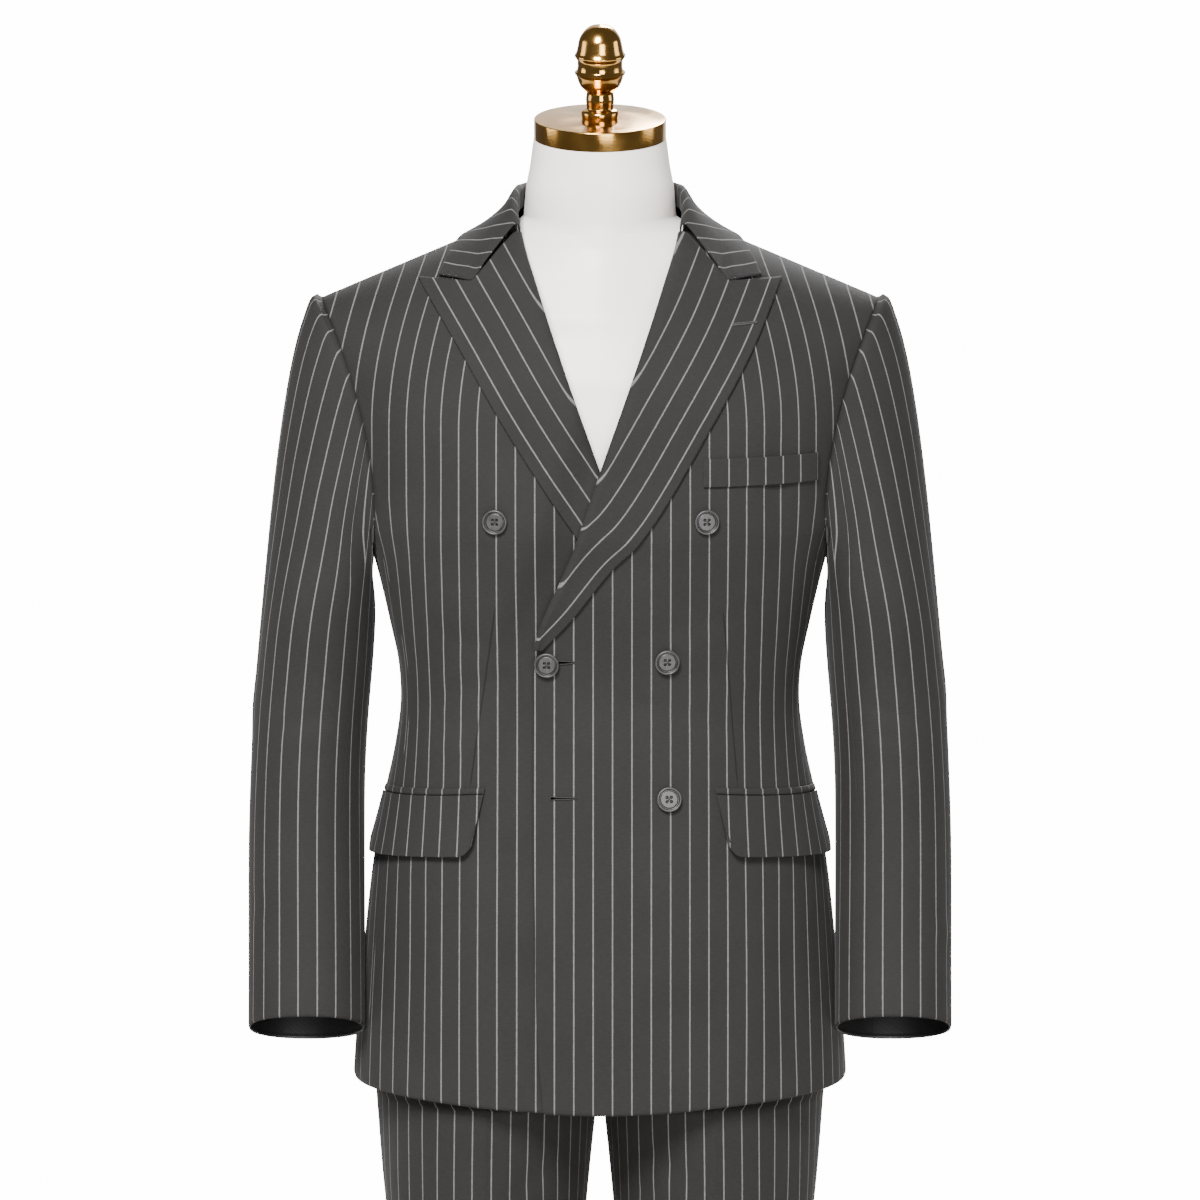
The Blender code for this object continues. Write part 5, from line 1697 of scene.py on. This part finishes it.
def make_form():
    """Torso of the dress form: superellipse rings from the hips to the neck, closed at its ends.

    The neck's top rings lean, by a smooth step of their height, up to the underside of the cap.
    """
    rows = np.array(FORM_RINGS)
    heights = np.unique(np.concatenate([rows[:, 0], np.linspace(rows[0, 0], rows[-1, 0],
                                                               FORM_GRID[0])]))
    half_width, ahead, behind, centre, power = table(FORM_RINGS, heights, calm=True)[..., None]
    columns = FORM_GRID[1]
    angle = np.linspace(0, 2 * math.pi, columns + 1)[:-1]
    x, y = oval(angle[None, :], half_width, ahead, behind, power)
    under_cap = (CAP_RADIUS + y + centre - NECK_TOP[1]) * math.tan(NECK_LEAN)
    share = smoothstep((heights[:, None] - LEAN_START) / (NECK_TOP[2] - LEAN_START))
    points = stack(x, y + centre, heights[:, None] + under_cap * share)
    faces = grid_faces(len(heights), columns, closed=True)[0].tolist()
    faces += end_faces(len(heights), columns)
    made = new_object("form_torso_shell", points.reshape(-1, 3), faces,
                      [material("satin_painted_glassfibre", form_skin)])
    made.data.set_sharp_from_angle(angle=math.radians(50))
    placed(made, "form", "form_torso")


def turned(name, profile, sides, finish, slot, node_name, lean=0.0, place=(0, 0, 0)):
    """A profile, from the top down its outer side, turned round Z, leant and placed.

    Its first and last points lie on the axis or are closed by a flat face.
    """
    profile = np.array(profile, float)
    angle = np.linspace(0, 2 * math.pi, sides + 1)[:-1]
    ring = profile[profile[:, 0] > 0]
    points = stack(ring[:, :1] * np.cos(angle), ring[:, :1] * np.sin(angle), ring[:, 1:])
    faces = grid_faces(len(ring), sides, closed=True)[0][:, ::-1].tolist()
    faces += [face[::-1] for face in end_faces(len(ring), sides)]
    points = points.reshape(-1, 3)
    turn = np.array(((1, 0, 0), (0, math.cos(lean), -math.sin(lean)),
                     (0, math.sin(lean), math.cos(lean))))
    made = new_object(name, points @ turn.T + np.array(place), faces, [finish])
    made.data.set_sharp_from_angle(angle=math.radians(35))
    placed(made, slot, node_name)


def rounded_corner(radius, height, bevel, steps=6):
    """A disc's outer side from its top to its underside, its top edge a quarter round."""
    turn = np.linspace(math.pi / 2, 0, steps)
    return [(radius - bevel + bevel * math.cos(t), height - bevel + bevel * math.sin(t))
            for t in turn] + [(radius, 0.0)]


def fine_profile(profile, steps):
    """A profile's points with smooth curves between them, by the length along it."""
    profile = np.array(profile)
    place = running(profile, 0)
    return table(np.concatenate([place[:, None], profile], 1),
                 np.linspace(0, place[-1], steps), calm=True).T


def make_cap_and_finial():
    """Neck cap and turned finial, leant as the neck is."""
    low = CAP_RADIUS * math.sin(NECK_LEAN) + SEAM
    axis = np.array((0, -math.sin(NECK_LEAN), math.cos(NECK_LEAN)))
    cap = rounded_corner(CAP_RADIUS, CAP_HEIGHT, CAP_BEVEL)
    finish = material("polished_brass", brass)
    turned("neck_cap_spun", cap, CAP_SIDES, finish, "brass", "neck_cap", NECK_LEAN,
           np.array(NECK_TOP) + axis * low)
    rows, sides = FINIAL_GRID
    knob = [(max(r, KNOB_CENTRE), h) for r, h in fine_profile(FINIAL_PROFILE, rows)]
    turned("finial_turned", knob, sides, finish, "brass", "finial", NECK_LEAN,
           np.array(NECK_TOP) + axis * (low + CAP_HEIGHT + SEAM))


def make_stand():
    """Round base and pole of the stand."""
    finish = material("brushed_stainless_steel", steel)
    base = rounded_corner(BASE_RADIUS, BASE_HEIGHT, BASE_BEVEL)
    turned("stand_base_plate", base, BASE_SIDES, finish, "stand", "stand_base")
    low = BASE_HEIGHT + SEAM
    high = FORM_RINGS[0][0] - SEAM
    pole = [(POLE_RADIUS, high), (POLE_RADIUS, low)]
    turned("stand_pole_tube", pole, POLE_SIDES, finish, "stand", "stand_pole",
           place=(POLE_X, 0, 0))


def make_stage():
    """Pale floor, white surroundings, soft studio lights and the photograph's camera."""
    settings = bpy.context.scene.suit_studio
    angle = np.linspace(0, 2 * math.pi, 97)[:-1]
    rim = stack(settings.floor_radius * np.cos(angle), settings.floor_radius * np.sin(angle), 0.0)
    floor = new_object("studio_floor", rim, [list(range(len(angle)))],
                       [material("matt_studio_floor", floor_paint)])

    world = bpy.data.worlds.new("white_studio")
    bpy.context.scene.world = world
    world.use_nodes = True
    tree = world.node_tree
    tree.nodes.clear()
    seen = node(tree, "ShaderNodeBackground", {"Color": (1, 1, 1, 1), "Strength": settings.backdrop})
    lit = node(tree, "ShaderNodeBackground",
               {"Color": (1, 1, 1, 1), "Strength": settings.surroundings})
    ray = node(tree, "ShaderNodeLightPath")
    both = node(tree, "ShaderNodeMixShader",
                {0: ray.outputs["Is Camera Ray"], 1: lit.outputs[0], 2: seen.outputs[0]})
    node(tree, "ShaderNodeOutputWorld", {"Surface": both.outputs[0]})

    aim = Vector(CAMERA_AIM)
    for name, at, width, source, share in LIGHTS:
        light = bpy.data.lights.new(name, "AREA")
        light.shape = "SQUARE"
        light.size = width
        light.energy = getattr(settings, source) * share
        lamp = bpy.data.objects.new(name, light)
        lamp.location = at
        lamp.rotation_euler = (aim - Vector(at)).to_track_quat("-Z", "Y").to_euler()
        lamp.visible_camera = False
        bpy.context.scene.collection.objects.link(lamp)

    lens = bpy.data.cameras.new("photo_camera")
    lens.sensor_width = SENSOR
    lens.lens = SENSOR * CAMERA_DISTANCE / (PHOTO_WIDTH * METRES_PER_PIXEL)
    camera = bpy.data.objects.new("photo_camera", lens)
    away = Vector((0, -math.cos(CAMERA_LIFT), math.sin(CAMERA_LIFT))) * CAMERA_DISTANCE
    camera.location = aim + away
    camera.rotation_euler = (math.pi / 2 - CAMERA_LIFT, 0, 0)
    lens.clip_end = VIEW_END
    bpy.context.scene.collection.objects.link(camera)
    bpy.context.scene.camera = camera


class SuitCloth(bpy.types.PropertyGroup):
    """Sizes and colours of the cloth."""

    thickness: length(0.0014, "Thickness", "Thickness of the cloth's shell")
    stripe_spacing: length(0.01655, "Stripe spacing", "Distance from one pinstripe to the next")
    stripe_width: length(0.0012, "Stripe width", "Width of a pinstripe")
    wool_dark: colour("1d1c1c", "Dark wool", "Darker yarns of the ground")
    wool_light: colour("242322", "Light wool", "Lighter yarns of the ground")
    stripe: colour("62605e", "Stripe", "Colour of the pinstripes")
    # Painted shade of the darts and of the armhole's seam, and also the darker tone of the lining
    seam: colour("060606", "Seam", "Shade inside a sewn line")
    lining: colour("131315", "Lining", "Colour of the lining")


class SuitTrim(bpy.types.PropertyGroup):
    """Colours of the buttons and threads."""

    horn_dark: colour("211f1f", "Dark horn", "Darker streaks of the buttons")
    horn_light: colour("353232", "Light horn", "Lighter streaks of the buttons")
    thread_dark: colour("2c2b2a", "Dark thread", "Thread of the buttons and open buttonholes")
    thread_light: colour("3c3a39", "Light thread", "Thread of the lapel's buttonhole")
    # Painted shade: the near-black inside an open buttonhole and in the buttons' groove and holes
    painted_hole_shade: colour("020202", "Slit", "Shade inside an open buttonhole")


class SuitStand(bpy.types.PropertyGroup):
    """Colours of the dress form and its stand."""

    form: colour("f2e9e3", "Form", "Paint of the dress form")
    brass: colour("c8984f", "Brass", "Colour of the cap and finial")
    steel: colour("b8b8b8", "Steel", "Colour of the stand")


class SuitStudio(bpy.types.PropertyGroup):
    """Light and floor of the studio."""

    floor: colour("d9d7d4", "Floor", "Colour of the floor")
    floor_radius: length(3.0, "Floor radius", "Radius of the floor")
    backdrop: FloatProperty(name="Backdrop", default=15.0, min=0.0,
                            description="Brightness of the white surroundings as they are seen")
    surroundings: FloatProperty(name="Surroundings", default=0.14, min=0.0,
                                description="Brightness of the white surroundings as a light")
    key: power(760.0, "Key light", "Power of the key light")
    fill: power(150.0, "Fill light", "Power of the front fill")
    sides: power(60.0, "Side lights", "Power of the light at either side")
    back: power(170.0, "Back light", "Power of the light behind")


class PieceOperator:
    """What the operators share: each makes its pieces."""

    bl_options = {"REGISTER", "UNDO"}
    makers = ()

    def execute(self, context):
        for make in type(self).makers:
            make()
        return {"FINISHED"}


class SUIT_OT_body(PieceOperator, bpy.types.Operator):
    """Make the fronts, sides and backs of the jacket"""

    bl_idname = "suit.body"
    bl_label = "Jacket body"
    makers = (make_fronts, make_sides, make_backs)


class SUIT_OT_lapels(PieceOperator, bpy.types.Operator):
    """Make the peak lapels"""

    bl_idname = "suit.lapels"
    bl_label = "Lapels"
    makers = (make_lapels,)


class SUIT_OT_collar(PieceOperator, bpy.types.Operator):
    """Make the collar"""

    bl_idname = "suit.collar"
    bl_label = "Collar"
    makers = (make_collar,)


class SUIT_OT_sleeves(PieceOperator, bpy.types.Operator):
    """Make the top and under sleeves"""

    bl_idname = "suit.sleeves"
    bl_label = "Sleeves"
    makers = (make_sleeves,)


class SUIT_OT_pockets(PieceOperator, bpy.types.Operator):
    """Make the breast welt, pocket flaps and jets"""

    bl_idname = "suit.pockets"
    bl_label = "Pockets"
    makers = (make_pockets,)


class SUIT_OT_buttons(PieceOperator, bpy.types.Operator):
    """Make the buttons and the worked buttonholes"""

    bl_idname = "suit.buttons"
    bl_label = "Buttons"
    makers = (make_buttons, make_buttonholes)


class SUIT_OT_trousers(PieceOperator, bpy.types.Operator):
    """Make the trousers and their waistband"""

    bl_idname = "suit.trousers"
    bl_label = "Trousers"
    makers = (make_trousers,)


class SUIT_OT_form(PieceOperator, bpy.types.Operator):
    """Make the dress form with its cap, finial and stand"""

    bl_idname = "suit.form"
    bl_label = "Dress form"
    makers = (make_form, make_cap_and_finial, make_stand)


class SUIT_OT_stage(PieceOperator, bpy.types.Operator):
    """Make the studio: floor, lights and camera"""

    bl_idname = "suit.stage"
    bl_label = "Studio"
    makers = (make_stage,)


OPERATORS = (SUIT_OT_body, SUIT_OT_lapels, SUIT_OT_collar, SUIT_OT_sleeves, SUIT_OT_pockets,
             SUIT_OT_buttons, SUIT_OT_trousers, SUIT_OT_form, SUIT_OT_stage)
GROUPS = (("suit_cloth", SuitCloth), ("suit_trim", SuitTrim), ("suit_stand", SuitStand),
          ("suit_studio", SuitStudio))


class SUIT_PT_panel(bpy.types.Panel):
    """Sidebar panel that lists the sizes, colours and pieces"""

    bl_idname = "SUIT_PT_panel"
    bl_label = "Double-breasted suit"
    bl_space_type = "VIEW_3D"
    bl_region_type = "UI"
    bl_category = "Suit"

    def draw(self, context):
        for name, group in GROUPS:
            box = self.layout.box()
            for field in group.__annotations__:
                box.prop(getattr(context.scene, name), field)
        for operator in OPERATORS:
            self.layout.operator(operator.bl_idname)


CLASSES = (*[group for _, group in GROUPS], *OPERATORS, SUIT_PT_panel)


def register():
    for one in CLASSES:
        bpy.utils.register_class(one)
    for name, group in GROUPS:
        setattr(bpy.types.Scene, name, PointerProperty(type=group))


def unregister():
    for name, _ in GROUPS:
        delattr(bpy.types.Scene, name)
    for one in reversed(CLASSES):
        bpy.utils.unregister_class(one)


def main():
    register()
    for operator in OPERATORS:
        family, name = operator.bl_idname.split(".")
        getattr(getattr(bpy.ops, family), name)()


if __name__ == "__main__":
    main()
